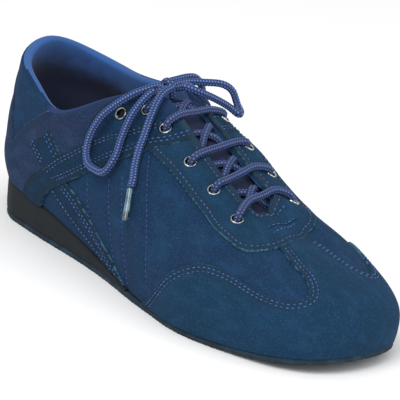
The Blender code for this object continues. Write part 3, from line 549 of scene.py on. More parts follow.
@dataclass
class Last:
    """Outer form of the upper: ribs up from the feather line round a loop, in mm.

    Place u runs from the back of the heel along the lateral side to the toe and back along the medial
    side; t runs up a rib from 0 at the feather line to 1 at the edge of collar and throat. A rib is a
    short arc out to the bulge, then a cubic curve to the edge. Rib sizes follow a closed cubic spline.
    """

    heel_axis_x: float = -97.0
    toe_axis_x: float = 36.0
    heel_round: float = 33.0
    toe_round: float = 55.0
    bulge_t: float = 0.22
    seam: float = 0.3
    flat_end_x: float = 52.0
    toe_end_x: float = 121.0
    toe_spring: float = 5.6
    # Rows: x and height of the top of the sole
    seats: tuple = ((-140, 17.5), (-131, 17.5), (-97, 16.5), (-70, 14.5), (-45, 10.5), (-22, 7.0), (-8, 5.0),
                    (6, 3.5), (20, 2.7), (36, 2.5), (140, 2.5))
    # Rows: zone, place, feather radius lateral and medial, bulge, its height, edge radius lateral and medial,
    # edge height lateral and medial, slopes at the edge in degrees, pull at the foot and at the edge
    sections: tuple = (
        ("heel", 0, 32.0, 32.0, 3.0, 34.0, 28.5, 28.5, 76.5, 76.5, 83, 83, 0.33, 0.33),
        ("heel", 45, 29.5, 30.0, 2.5, 32.5, 28.0, 28.5, 73.0, 70.0, 81, 81, 0.33, 0.33),
        ("heel", 90, 30.5, 28.5, 2.5, 31.0, 29.5, 28.5, 67.5, 65.0, 82, 82, 0.33, 0.33),
        ("mid", -70, 32.5, 26.5, 2.5, 29.0, 32.5, 29.5, 60.0, 66.5, 78, 78, 0.35, 0.33),
        ("mid", -45, 33.5, 25.0, 2.0, 27.5, 24.0, 24.0, 72.0, 72.0, 68, 68, 0.37, 0.33),
        ("mid", -22, 35.5, 26.5, 2.0, 25.5, 9.0, 5.5, 79.0, 79.5, 40, 26, 0.41, 0.33),
        ("mid", -8, 37.5, 29.5, 1.5, 23.5, 8.0, 5.0, 74.0, 72.5, 30, 12, 0.47, 0.39),
        ("mid", 12, 41.0, 35.5, 1.5, 21.0, 8.5, 5.0, 63.5, 64.5, 18, 4, 0.50, 0.40),
        ("toe", 90, 44.0, 40.5, 1.5, 18.0, 7.5, 6.5, 52.5, 53.5, 26, 17, 0.55, 0.41),
        ("toe", 60, 50.5, 46.5, 1.5, 17.0, 8.0, 9.0, 50.0, 50.5, 26, 24, 0.56, 0.42),
        ("toe", 35, 64.5, 61.0, 1.5, 15.5, 8.5, 8.5, 46.5, 48.0, 20, 20, 0.56, 0.40),
        ("toe", 15, 82.0, 79.0, 1.5, 16.5, 9.5, 9.0, 45.0, 44.5, 18, 18, 0.57, 0.38),
        ("toe", 0, 83.5, 83.5, 1.5, 18.0, 9.0, 9.0, 45.0, 45.0, 16, 16, 0.58, 0.38),
    )
    # Stitched folds of the quarter, flex troughs over the ball, folds under the collar and at the heel
    creases: tuple = (
        Crease(((111, 0.42), (118, 0.18), (128, 0.06)), -0.45, 2.2),
        Crease(((127, 0.46), (136, 0.25), (142, 0.03)), -0.45, 2.2),
        Crease(((136, 0.52), (146, 0.33), (156, 0.02)), -0.45, 2.2),
        Crease(((144, 0.73), (155, 0.59), (169, 0.37), (175, 0.10)), -0.5, 2.4),
        Crease(((196, 0.5), (214, 0.6), (236, 0.66)), -0.7, 6.0),
        Crease(((188, 0.42), (204, 0.55), (222, 0.64)), 0.4, 5.0),
        Crease(((84, 0.78), (98, 0.72), (112, 0.76)), -0.8, 6.0),
        Crease(((20, 0.72), (38, 0.66), (52, 0.72)), -0.6, 7.0),
        Crease(((30, 0.16), (48, 0.2), (62, 0.3)), 0.4, 7.0),
    )
    side: float = field(init=False)
    loop: float = field(init=False)

    def __post_init__(self) -> None:
        """Solve the spline of rib sizes round the loop."""
        self.heel_end = self.heel_round * math.pi / 2
        self.toe_start = self.heel_end + self.toe_axis_x - self.heel_axis_x
        self.side = self.toe_start + self.toe_round * math.pi / 2
        self.loop = 2 * self.side
        along = [self.along(row[0], row[1]) for row in self.sections]
        table = np.array([row[2:] for row in self.sections], float)
        lateral = table[:, [0, 2, 3, 4, 6, 8, 10, 11]]
        medial = table[:, [1, 2, 3, 5, 7, 9, 10, 11]]
        self.knots = np.array(along + [self.loop - place for place in along[-2:0:-1]])
        self.rows = np.vstack([lateral, medial[-2:0:-1]])
        step = np.diff(np.append(self.knots, self.knots[0] + self.loop))
        before = np.roll(step, 1)
        identity = np.eye(len(step))
        system = (np.roll(identity, -1, axis=1) * step[:, None] + identity * (2 * (before + step))[:, None]
                  + np.roll(identity, 1, axis=1) * before[:, None])
        ahead = (np.roll(self.rows, -1, axis=0) - self.rows) / step[:, None]
        right = 3 * (before[:, None] * ahead + step[:, None] * np.roll(ahead, 1, axis=0))
        self.slopes = np.linalg.solve(system, right)
        self.steps = step
        self.seat_line = hermite(self.seats, 8)

    def along(self, zone: str, place: float) -> float:
        """Distance of a rib from the back of the heel, along one side.

        Args:
            zone: heel, mid or toe.
            place: angle round the heel or the toe in degrees, or x in the mid zone.
        Returns:
            The distance in mm.
        """
        if zone == "heel":
            return self.heel_round * math.radians(place)
        if zone == "mid":
            return self.heel_end + place - self.heel_axis_x
        return self.toe_start + self.toe_round * math.radians(90 - place)

    def ground(self, x: Array) -> Array:
        """Height of the outsole's underside: flat to the ball, then lifted to the toe."""
        past = np.clip((np.asarray(x, float) - self.flat_end_x) / (self.toe_end_x - self.flat_end_x), 0, None)
        return self.toe_spring * past**2

    def seat(self, x: Array) -> Array:
        """Height of the top of the sole."""
        return np.interp(x, self.seat_line[:, 0], self.seat_line[:, 1]) + self.ground(x)

    def axis(self, u: Array) -> tuple[Array, Array, Array]:
        """Foot of each rib on its axis or the centre plane, and the way that it faces in plan.

        Args:
            u: places round the loop.
        Returns:
            x of the foot, and x and y of the direction.
        """
        u = np.mod(u, self.loop)
        lateral = u <= self.side
        along = np.where(lateral, u, self.loop - u)
        heel_angle = along / self.heel_round
        toe_angle = math.pi / 2 - (along - self.toe_start) / self.toe_round
        heel, toe = along < self.heel_end, along > self.toe_start
        straight = self.heel_axis_x + along - self.heel_end
        foot = np.where(heel, self.heel_axis_x, np.where(toe, self.toe_axis_x, straight))
        face_x = np.where(heel, -np.cos(heel_angle), np.where(toe, np.cos(toe_angle), 0.0))
        face_y = np.where(heel, np.sin(heel_angle), np.where(toe, np.sin(toe_angle), 1.0))
        return foot, face_x, np.where(lateral, -face_y, face_y)

    def sizes(self, u: Array) -> Array:
        """Rib sizes by the closed cubic spline.

        Args:
            u: places round the loop.
        Returns:
            The eight sizes of a rib, on the last axis.
        """
        place = np.mod(u, self.loop)
        row = np.clip(np.searchsorted(self.knots, place, side="right") - 1, 0, len(self.knots) - 1)
        after = (row + 1) % len(self.knots)
        width = self.steps[row][..., None]
        s = (place - self.knots[row])[..., None] / width
        return ((2 * s**3 - 3 * s**2 + 1) * self.rows[row] + (s**3 - 2 * s**2 + s) * width * self.slopes[row]
                + (3 * s**2 - 2 * s**3) * self.rows[after] + (s**3 - s**2) * width * self.slopes[after])

    def profile(self, u: Array, t: Array) -> tuple[Array, Array]:
        """Ribs in their own planes: an arc out to the bulge, then one cubic curve to the edge.

        Args:
            u: places round the loop.
            t: places up the ribs.
        Returns:
            Radius from the rib's foot, and height.
        """
        feather, bulge, bulge_z, edge, edge_z, dip, low, high = np.moveaxis(self.sizes(u), -1, 0)
        foot, face_x, _ = self.axis(u)
        feather_z = self.seat(foot + face_x * feather) + self.seam
        bulge = feather + bulge
        dip = np.radians(dip)
        s = np.clip(t / self.bulge_t, 0, 1)
        w = np.clip((t - self.bulge_t) / (1 - self.bulge_t), 0, 1)
        pull = high * np.hypot(bulge - edge, edge_z - bulge_z)
        weights = ((1 - w)**3, 3 * (1 - w)**2 * w, 3 * (1 - w) * w**2, w**3)
        radii = (bulge, bulge, edge + pull * np.cos(dip), edge)
        heights = (bulge_z, bulge_z + low * (edge_z - bulge_z), edge_z - pull * np.sin(dip), edge_z)
        arc = t < self.bulge_t
        curve_radius = sum(a * b for a, b in zip(weights, radii))
        curve_height = sum(a * b for a, b in zip(weights, heights))
        radius = np.where(arc, bulge - (bulge - feather) * (1 - s)**2, curve_radius)
        return radius, np.where(arc, feather_z + (bulge_z - feather_z) * s, curve_height)

    def point(self, u: Array, t: Array) -> Array:
        """Places of the form, without creases.

        Args:
            u: places round the loop.
            t: places up the ribs.
        Returns:
            Points in mm.
        """
        u, t = np.broadcast_arrays(np.asarray(u, float), np.asarray(t, float))
        foot, face_x, face_y = self.axis(u)
        radius, height = self.profile(u, t)
        return np.stack([foot + face_x * radius, face_y * radius, height], axis=-1)

    def slopes_at(self, u: Array, t: Array) -> tuple[Array, Array]:
        """Slopes of the form, by central differences.

        Args:
            u: places round the loop.
            t: places up the ribs.
        Returns:
            Steps for one mm of u, and steps for the whole of t.
        """
        u, t = np.broadcast_arrays(np.asarray(u, float), np.asarray(t, float))
        low, high = np.clip(t - PROBE_T, 0, 1), np.clip(t + PROBE_T, 0, 1)
        up = (self.point(u, high) - self.point(u, low)) / (high - low)[..., None]
        return (self.point(u + PROBE_U_MM, t) - self.point(u - PROBE_U_MM, t)) / (2 * PROBE_U_MM), up

    def normal(self, u: Array, t: Array) -> Array:
        """Outward direction of the form."""
        return unit(np.cross(*self.slopes_at(u, t)))

    def crease(self, u: Array, t: Array) -> Array:
        """Rise of the troughs and ridges: each falls off as a bell across its line.

        Args:
            u: places round the loop.
            t: places up the ribs.
        Returns:
            Rise in mm.
        """
        u, t = np.broadcast_arrays(np.mod(u, self.loop), np.asarray(t, float))
        total = np.zeros(u.shape)
        for crease in self.creases:
            line = at_shares(hermite(crease.line) * (1, RIB_MM), np.linspace(0, 1, 24))
            for side in crease.sides:
                along = u if side is Side.LATERAL else self.loop - u
                reach = np.ptp(line[:, 0]) / 2 + 3 * crease.width
                near = np.flatnonzero(np.abs(along - line[:, 0].mean()) < reach)
                gap = np.hypot(along.flat[near][:, None] - line[:, 0],
                               t.flat[near][:, None] * RIB_MM - line[:, 1])
                total.flat[near] += crease.rise * np.exp(-(gap.min(axis=1) / crease.width)**2)
        return total

    def lift(self, u: Array, t: Array, height: Array) -> Array:
        """Places at a height over the creased form."""
        u, t, height = np.broadcast_arrays(u, t, height)
        return self.point(u, t) + self.normal(u, t) * (height + self.crease(u, t))[..., None]

    def shifted(self, line: Array, distance: float) -> Array:
        """A line moved sideways on the form.

        Args:
            line: rows of (u, t) places.
            distance: distance to the line's left, in mm.
        Returns:
            The moved line.
        """
        along, up = self.slopes_at(line[:, 0], line[:, 1])
        scale = np.stack([np.linalg.norm(along, axis=1), np.linalg.norm(up, axis=1)], axis=1)
        run = unit(np.gradient(line, axis=0) * scale)
        return line + distance * np.stack([-run[:, 1], run[:, 0]], axis=1) / scale

    def mirrored(self, line: Array) -> Array:
        """The same line of (u, t) places on the medial side, run the other way."""
        return (line * (-1, 1) + (self.loop, 0))[::-1]

    def on_side(self, line: Array, side: Side) -> Array:
        """A line of lateral (u, t) places as it is, or its mirror image run the same way."""
        return line if side is Side.LATERAL else self.mirrored(line)[::-1]


@dataclass(frozen=True)
class Eyelet:
    """Place of an eyelet as (along, up), and the height of the leather that it is set in."""

    along: float
    up: float
    base: float


# Overlay heights over the form
COUNTER_TOP_MM = 0.9
BACKSTAY_TOP_MM = 0.8
CAP_TOP_MM = 1.1
STAY_TOP_MM = 1.3
CROSS_TOP_MM = 1.6
STRAP_TOP_MM = 1.75
EYELET_COUNT = 6
EYELETS = {
    Side.LATERAL: (Eyelet(220, 0.86, STAY_TOP_MM), Eyelet(178, 0.90, STAY_TOP_MM),
                   Eyelet(162, 0.89, STAY_TOP_MM), Eyelet(142, 0.89, STRAP_TOP_MM),
                   Eyelet(126, 0.89, 0.0), Eyelet(115, 0.85, 0.0)),
    Side.MEDIAL: (Eyelet(204, 0.865, STAY_TOP_MM), Eyelet(175, 0.86, STAY_TOP_MM),
                  Eyelet(161, 0.89, STAY_TOP_MM), Eyelet(140, 0.865, STRAP_TOP_MM),
                  Eyelet(126, 0.82, 0.0), Eyelet(115, 0.82, 0.0))}
# Eyelet holes: radius, reach of the stretched leather, width of the removed faces, depth
HOLE_MM = 2.1
HOLE_REACH_MM = 5.0
HOLE_SEED_MM = 0.9
HOLE_DEPTH_MM = 6.0


def eyelet_frames(last: Last) -> list[tuple[Array, Array, float]]:
    """Places of every eyelet.

    Args:
        last: form that the eyelets stand on.
    Returns:
        Point, outward direction and base height of each, lateral row first.
    """
    frames = []
    for side in Side:
        for eyelet in EYELETS[side]:
            u = eyelet.along if side is Side.LATERAL else last.loop - eyelet.along
            point = last.point(np.array([u]), np.array([eyelet.up]))[0]
            frames.append((point, last.normal(np.array([u]), np.array([eyelet.up]))[0], eyelet.base))
    return frames


def punched(points: Array, faces: Array, last: Last) -> tuple[Array, Array]:
    """Opens the eyelet holes: faces on an axis go, and the points round it move out to clear the bore.

    Args:
        points: places of the leather's points, any grid shape.
        faces: rows of point numbers.
        last: form that the eyelets stand on.
    Returns:
        The moved points as rows, and True for the faces that stay.
    """
    points = points.reshape(-1, 3).copy()
    keep = np.ones(len(faces), bool)
    for point, normal, _ in eyelet_frames(last):
        offset = points - point
        depth = offset @ normal
        spoke = offset - depth[:, None] * normal
        across = np.linalg.norm(spoke, axis=1)
        beside = np.abs(depth) < HOLE_DEPTH_MM
        keep &= ~(beside & (across < HOLE_SEED_MM))[faces].any(axis=1)
        push = np.where(beside, HOLE_MM * np.clip(1 - across / HOLE_REACH_MM, 0, None), 0)
        points += unit(spoke) * push[:, None]
    return points, keep


@dataclass
class Upper:
    """The hollow upper as one skin: up the outside, over the rolled lip and down the lining."""

    last: Last
    finishes: Finishes
    wall: float = 1.8
    pad: float = 3.2
    fine_step: float = 0.85
    step: float = 1.7
    outer_rows: int = 84
    lip_rows: int = 9
    inner_rows: int = 36
    # Padding: x where it has run out at the throat, length of its fade, and its start and end up the rib
    pad_end_x: float = -30.0
    pad_fade: float = 40.0
    pad_rise: tuple = (0.55, 0.85)
    lip_rise: float = 0.36
    # Stretch of one side with finer steps, round the eyelets
    fine_from: float = 105.0
    fine_to: float = 226.0
    # Violet band at the collar: where it begins and ends along the side, and up the rib
    band_start: tuple = (72.0, 76.0)
    band_end: tuple = (150.0, 118.0)
    band_up: tuple = (0.9, 0.97)
    # The lining is rolled over the whole lip as far as this from the back of the heel
    heel_lip_mm: tuple = (45.0, 78.0)

    def thickness(self, u: Array, t: Array) -> Array:
        """Wall with padding: full round the ankle, none at the throat and low on the wall.

        Args:
            u: places round the loop.
            t: places up the ribs.
        Returns:
            Thickness in mm.
        """
        along = np.minimum(np.mod(u, self.last.loop), self.last.loop - np.mod(u, self.last.loop))
        back = smooth_step(self.last.along("mid", self.pad_end_x) - along, 0, self.pad_fade)
        return self.wall + self.pad * back * smooth_step(t, *self.pad_rise)

    def build(self) -> None:
        """Build the skin and dress it."""
        last = self.last
        breaks = np.array([0, self.fine_from, self.fine_to, last.side])
        steps = (self.step, self.fine_step, self.step)
        half = np.concatenate([np.linspace(a, b, round((b - a) / s), endpoint=False)
                               for a, b, s in zip(breaks[:-1], breaks[1:], steps)])
        u = np.concatenate([half, [last.side], last.loop - half[:0:-1]])[None, :]
        t_out = np.linspace(0, 1, self.outer_rows)[:, None]
        outer = last.lift(u, t_out, 0.0)
        t_in = np.linspace(1, 0, self.inner_rows)[:, None]
        thick = self.thickness(u, t_in)
        inner = last.point(u, t_in) - last.normal(u, t_in) * thick[..., None]
        # The lip is half an ellipse from the outer edge to the inner one
        turn = np.linspace(0, math.pi, self.lip_rows + 2)[1:-1, None, None]
        middle = (outer[-1] + inner[0]) / 2
        rise = unit(last.slopes_at(u, np.ones_like(u))[1][0]) * thick[0][:, None] * self.lip_rise
        lip = middle + (outer[-1] - middle) * np.cos(turn) + rise * np.sin(turn)
        points = np.concatenate([outer, lip, inner])
        rows, columns = points.shape[:2]
        faces = grid_faces(rows, columns, wrap_rows=True, wrap_columns=True)
        heel_lip = smooth_step(np.minimum(u, last.loop - u)[0], *self.heel_lip_mm)
        first_lined = self.outer_rows + 2 + (self.lip_rows // 2 - 2) * heel_lip
        lined = (np.arange(rows)[:, None] >= first_lined).ravel()
        # Depth down the lining sets its darkening, partly painted shade of the shoe's inside
        depth = np.zeros((rows, columns))
        inward = np.linalg.norm(np.diff(points[self.outer_rows - 1:], axis=0), axis=-1)
        depth[self.outer_rows:] = np.cumsum(inward, axis=0)
        along = np.minimum(u, last.loop - u)
        share = np.concatenate([t_out[:, 0], np.ones(self.lip_rows), t_in[:, 0]])[:, None]
        collar = smooth_step(along, *self.band_start) * smooth_step(along, *self.band_end)
        violet = collar * smooth_step(share, *self.band_up)
        points, keep = punched(points, faces, last)
        make_piece("upper_skin", points, faces[keep], [self.finishes.suede, self.finishes.lining],
                   ("upper",), {"edge": np.full(rows * columns, NO_EDGE), "depth": depth,
                                "violet": violet}, lined[keep].astype(int))


@dataclass
class Leather:
    """One cut piece of leather on the last, between two lines of (u, t) places.

    The sheet is ruled from the low line to the high line, bent by sag at the middle, and closed by an
    under side. Its top is rounded at the cut lines and sinks a little at the rows of stitches.
    """

    name: str
    node: str
    low: Array
    high: Array
    top: float
    cuts: list
    rows_at: tuple = ()
    sag: Array | None = None
    skive: bool = False
    paired: bool = False
    pale: float = 1.0
    facing: float = 0.0
    step: float = 1.2
    # Distances of the first points from a cut, and how many of them close a short end
    edge_steps: tuple = (0.0, 0.12, 0.35, 0.8, 1.4, 2.0, 2.6, 3.2, 3.8, 4.4)
    end_steps: int = 5
    narrow: float = 12.0
    margin: float = 0.002
    round_mm: float = 0.55
    groove: float = 0.22
    groove_width: float = 0.5
    skive_length: float = 5.0
    sunk: float = 0.3
    cut_step: float = 0.8
    points_at_once: int = 4000
    # Grey band of the facing at the throat: where the pale edge ends and the grey begins, up the rib
    pale_end: tuple = (0.93, 0.95)
    grey_start: tuple = (0.955, 0.975)

    def build(self, last: Last, material: bpy.types.Material, slot: str) -> None:
        """Build the sheet and dress it.

        Args:
            last: form that the leather lies on.
            material: finish of the leather.
            slot: not used.
        """
        length = run_length(self.low * (1, RIB_MM))[-1]
        ends = np.array(self.edge_steps[:self.end_steps]) / length
        between = np.linspace(ends[-1], 1 - ends[-1], round(length / self.step))[1:-1]
        s = np.concatenate([ends, between, 1 - ends[::-1]])
        low, high = on_rib(self.low, s, self.paired), on_rib(self.high, s, self.paired)
        width = np.maximum(np.linalg.norm((high - low) * (1, RIB_MM), axis=1), 0.05)
        near = np.array(self.edge_steps)[:, None] * np.minimum(1, width / self.narrow)
        count = max(3, round(width.max() / self.step))
        inside = near[-1] + (width - 2 * near[-1]) * np.linspace(0, 1, count)[1:-1, None]
        w = (np.concatenate([near, inside, (width - near)[::-1]]) / width)[..., None]
        place = low + (high - low) * w
        if self.sag is not None:
            place[..., 1] += on_rib(self.sag[:, None], s, True)[:, 0] * 4 * w[..., 0] * (1 - w[..., 0])
        u, t = place[..., 0], np.clip(place[..., 1], self.margin, 1 - self.margin)
        flat = last.point(u, t).reshape(-1, 3)
        edge = np.full(len(flat), NO_EDGE)
        for cut in self.cuts:
            steps = round(run_length(cut * (1, RIB_MM))[-1] / self.cut_step)
            line = last.point(*on_rib(cut, np.linspace(0, 1, steps)).T)
            for part in np.array_split(np.arange(len(flat)), 1 + len(flat) // self.points_at_once):
                gap = np.linalg.norm(flat[part][:, None] - line, axis=-1).min(axis=1)
                edge[part] = np.minimum(edge[part], gap)
        edge = edge.reshape(u.shape)
        curve = np.sqrt(1 - (1 - np.clip(edge / self.round_mm, 0, 1))**2)
        height = self.top * (0.5 + 0.5 * curve)
        for row in self.rows_at:
            height = height - self.groove * np.exp(-((edge - row) / self.groove_width)**2)
        if self.skive:
            height = height * smooth_step(np.minimum(s, 1 - s) * length, 0, self.skive_length)
        outer, inner = last.lift(u, t, height), last.lift(u, t, -self.sunk)
        rows, columns = u.shape
        total = rows * columns
        faces = sheet_faces(rows, columns)
        middle = (rows // 2, columns // 2)
        across = outer[middle[0], middle[1] + 1] - outer[middle]
        upward = outer[middle[0] + 1, middle[1]] - outer[middle]
        turned = np.cross(across, upward) @ (outer[middle] - inner[middle])
        if turned < 0:
            faces = faces[:, ::-1]
        points = np.vstack([outer.reshape(-1, 3), inner.reshape(-1, 3)])
        points, keep = punched(points, faces, last)
        up = np.tile(t.ravel(), 2)
        make_piece(self.name, points, faces[keep], [material], (self.node,),
                   {"edge": np.concatenate([edge.ravel(), np.zeros(total)]),
                    "pale": self.pale * (1 - self.facing * smooth_step(up, *self.pale_end)),
                    "violet": self.facing * smooth_step(up, *self.grey_start)})


@dataclass
class Overlays:
    """Toe cap, eyestay, counter, backstay and crossing straps, cut as (along, up) lines."""

    last: Last
    finishes: Finishes
    strap_top: tuple = ((59, 0.004), (63, 0.10), (72, 0.25), (80, 0.40), (90, 0.55), (104, 0.65), (114, 0.70),
                        (125, 0.74), (136, 0.88), (140, 0.996))
    strap_foot: tuple = ((75, 0.004), (82, 0.14), (96, 0.31), (112, 0.45), (132, 0.60), (143, 0.75),
                         (149, 0.84), (152, 0.92), (154, 0.996))
    stay_edge: tuple = ((140, 0.745), (144, 0.75), (159, 0.77), (178, 0.77), (196, 0.76), (212, 0.73),
                        (230, 0.70), (241, 0.73), (250, 0.77), (260, 0.80), (271.23, 0.82))
    stay_edge_medial: tuple = ((140, 0.745), (144, 0.75), (159, 0.77), (178, 0.77), (196, 0.76),
                               (212, 0.76), (227, 0.77), (239, 0.79), (251, 0.82), (271.23, 0.82))
    stay_throat: tuple = ((151, 0.996), (271.23, 0.996))
    cap_edge: tuple = ((171, 0.004), (178, 0.08), (193, 0.30), (204, 0.42), (215, 0.49), (229, 0.50),
                       (241, 0.46), (249, 0.44), (255, 0.47), (258, 0.53), (259, 0.61), (258, 0.69),
                       (257, 0.80))
    cap_edge_medial: tuple = ((171, 0.004), (178, 0.07), (194, 0.28), (206, 0.40), (218, 0.48), (231, 0.52),
                              (241, 0.51), (248, 0.51), (253, 0.54), (256, 0.60), (256, 0.66), (254, 0.72),
                              (252, 0.83))
    # Height of the cap's cross lines at the middle, from the sole up to the eyestay
    cap_middle: tuple = (0.004, 0.05, 0.10, 0.15, 0.20, 0.25, 0.31, 0.37, 0.44, 0.52, 0.61, 0.71, 0.83)
    counter_back: tuple = ((0, 0.25), (22, 0.26), (44, 0.32), (52, 0.46), (59, 0.64), (66, 0.80), (73, 0.96),
                           (75, 0.996))
    counter_front: tuple = ((105, 0.70), (108, 0.84), (116, 0.94), (123, 0.996))
    cross_top_back: tuple = ((66, 0.50), (77, 0.37), (80, 0.335))
    cross_top_front: tuple = ((79, 0.80), (90, 0.57), (92.5, 0.52))
    cross_low_back: tuple = ((84, 0.19), (87, 0.17), (97, 0.11), (110, 0.06), (132, 0.01))
    cross_low_front: tuple = ((95, 0.33), (98, 0.31), (106, 0.26), (121, 0.17), (153, 0.01))
    backstay: tuple = ((48, 0.40), (38, 0.62), (26, 0.80), (12, 0.93), (0, 0.95))
    double_rows: tuple = (1.7, 3.5)
    inset_rows: tuple = (2.5, 4.2)
    stay_row: float = 2.4
    # Place where the counter's back line leaves the heel, and the counter's tuck under the strap
    counter_turn: float = 47.0
    counter_tuck: tuple = (1.5, -0.01)
    sole_t: float = 0.004
    samples: int = 120

    def leathers(self) -> list[tuple[Leather, bpy.types.Material, str]]:
        """Cut every overlay.

        Returns:
            Each overlay with its finish and slot.
        """
        last, suede, nubuck = self.last, self.finishes.overlay, self.finishes.nubuck
        strap_suede = self.finishes.strap
        foot, top = hermite(self.strap_foot), hermite(self.strap_top)
        low_back, low_front = hermite(self.cross_low_back), hermite(self.cross_low_front)
        top_back, top_front = np.array(self.cross_top_back), np.array(self.cross_top_front)
        free_end = np.array([top_back[0], top_front[0]])
        made = []
        for side in Side:
            name = side.value
            lines = (foot, top, top_back, top_front, free_end, low_back, low_front)
            foot_s, top_s, back_t, front_t, end_t, back_l, front_l = (
                last.on_side(line, side) for line in lines)
            made.append((Leather(f"diagonal_strap_suede_{name}", f"diagonal_strap_{name}", foot_s, top_s,
                                 STRAP_TOP_MM, [foot_s, top_s], self.double_rows, pale=0.5, facing=0.5),
                         strap_suede, "suede"))
            made.append((Leather(f"cross_strap_top_suede_{name}", f"cross_strap_top_{name}", back_t, front_t,
                                 CROSS_TOP_MM, [back_t, front_t, end_t], self.double_rows, pale=0.5),
                         strap_suede, "suede"))
            made.append((Leather(f"cross_strap_low_suede_{name}", f"cross_strap_low_{name}", back_l, front_l,
                                 CAP_TOP_MM, [back_l, front_l], self.double_rows, pale=0.7),
                         strap_suede, "suede"))
        stay, throat = hermite(self.stay_edge), np.array(self.stay_throat, float)
        stay = np.vstack([stay[:-1], last.mirrored(hermite(self.stay_edge_medial))])
        throat = np.vstack([throat[:-1], last.mirrored(throat)])
        made.append((Leather("eyestay_suede", "eyestay", stay, throat, STAY_TOP_MM, [stay, throat],
                             (self.stay_row,), pale=0.6, facing=0.5), suede, "suede"))
        cap, other = hermite(self.cap_edge), last.mirrored(hermite(self.cap_edge_medial))[::-1]
        middle = hermite(np.stack([self.cap_middle, np.linspace(0, 1, len(self.cap_middle))], axis=1))
        sag = middle[:, 0] - (cap[:, 1] + other[:, 1]) / 2
        made.append((Leather("toe_cap_suede", "toe_cap", cap, other, CAP_TOP_MM, [cap, other],
                             self.double_rows, sag, paired=True, pale=0.6), suede, "suede"))
        back = hermite(self.counter_back)
        heel = back[:, 0] <= self.counter_turn
        strap = top[top[:, 0] < self.counter_front[0][0]] + self.counter_tuck
        bound = hermite(self.counter_front)
        front = np.vstack([strap, bound])
        shares = np.linspace(0, 1, self.samples)
        sole = np.linspace((0, self.sole_t), (front[0, 0], self.sole_t), self.samples)
        low = np.vstack([sole[:-1], on_rib(front, shares)])
        high = np.vstack([on_rib(back[heel], shares)[:-1], on_rib(back[~heel], shares)])
        made.append((Leather("heel_counter_nubuck", "heel_counter", across_heel(low), across_heel(high),
                             COUNTER_TOP_MM, [across_heel(back), bound, bound * (-1, 1)],
                             skive=True, paired=True), nubuck, "nubuck"))
        side_line = hermite(self.backstay)[::-1]
        seat = back[back[:, 0] <= self.backstay[0][0]]
        made.append((Leather("backstay_nubuck", "backstay", across_heel(seat), across_heel(side_line),
                             BACKSTAY_TOP_MM, [across_heel(side_line)], pale=0.15), nubuck, "nubuck"))
        return made

    def build(self) -> None:
        """Build every overlay."""
        for leather, material, slot in self.leathers():
            leather.build(self.last, material, slot)


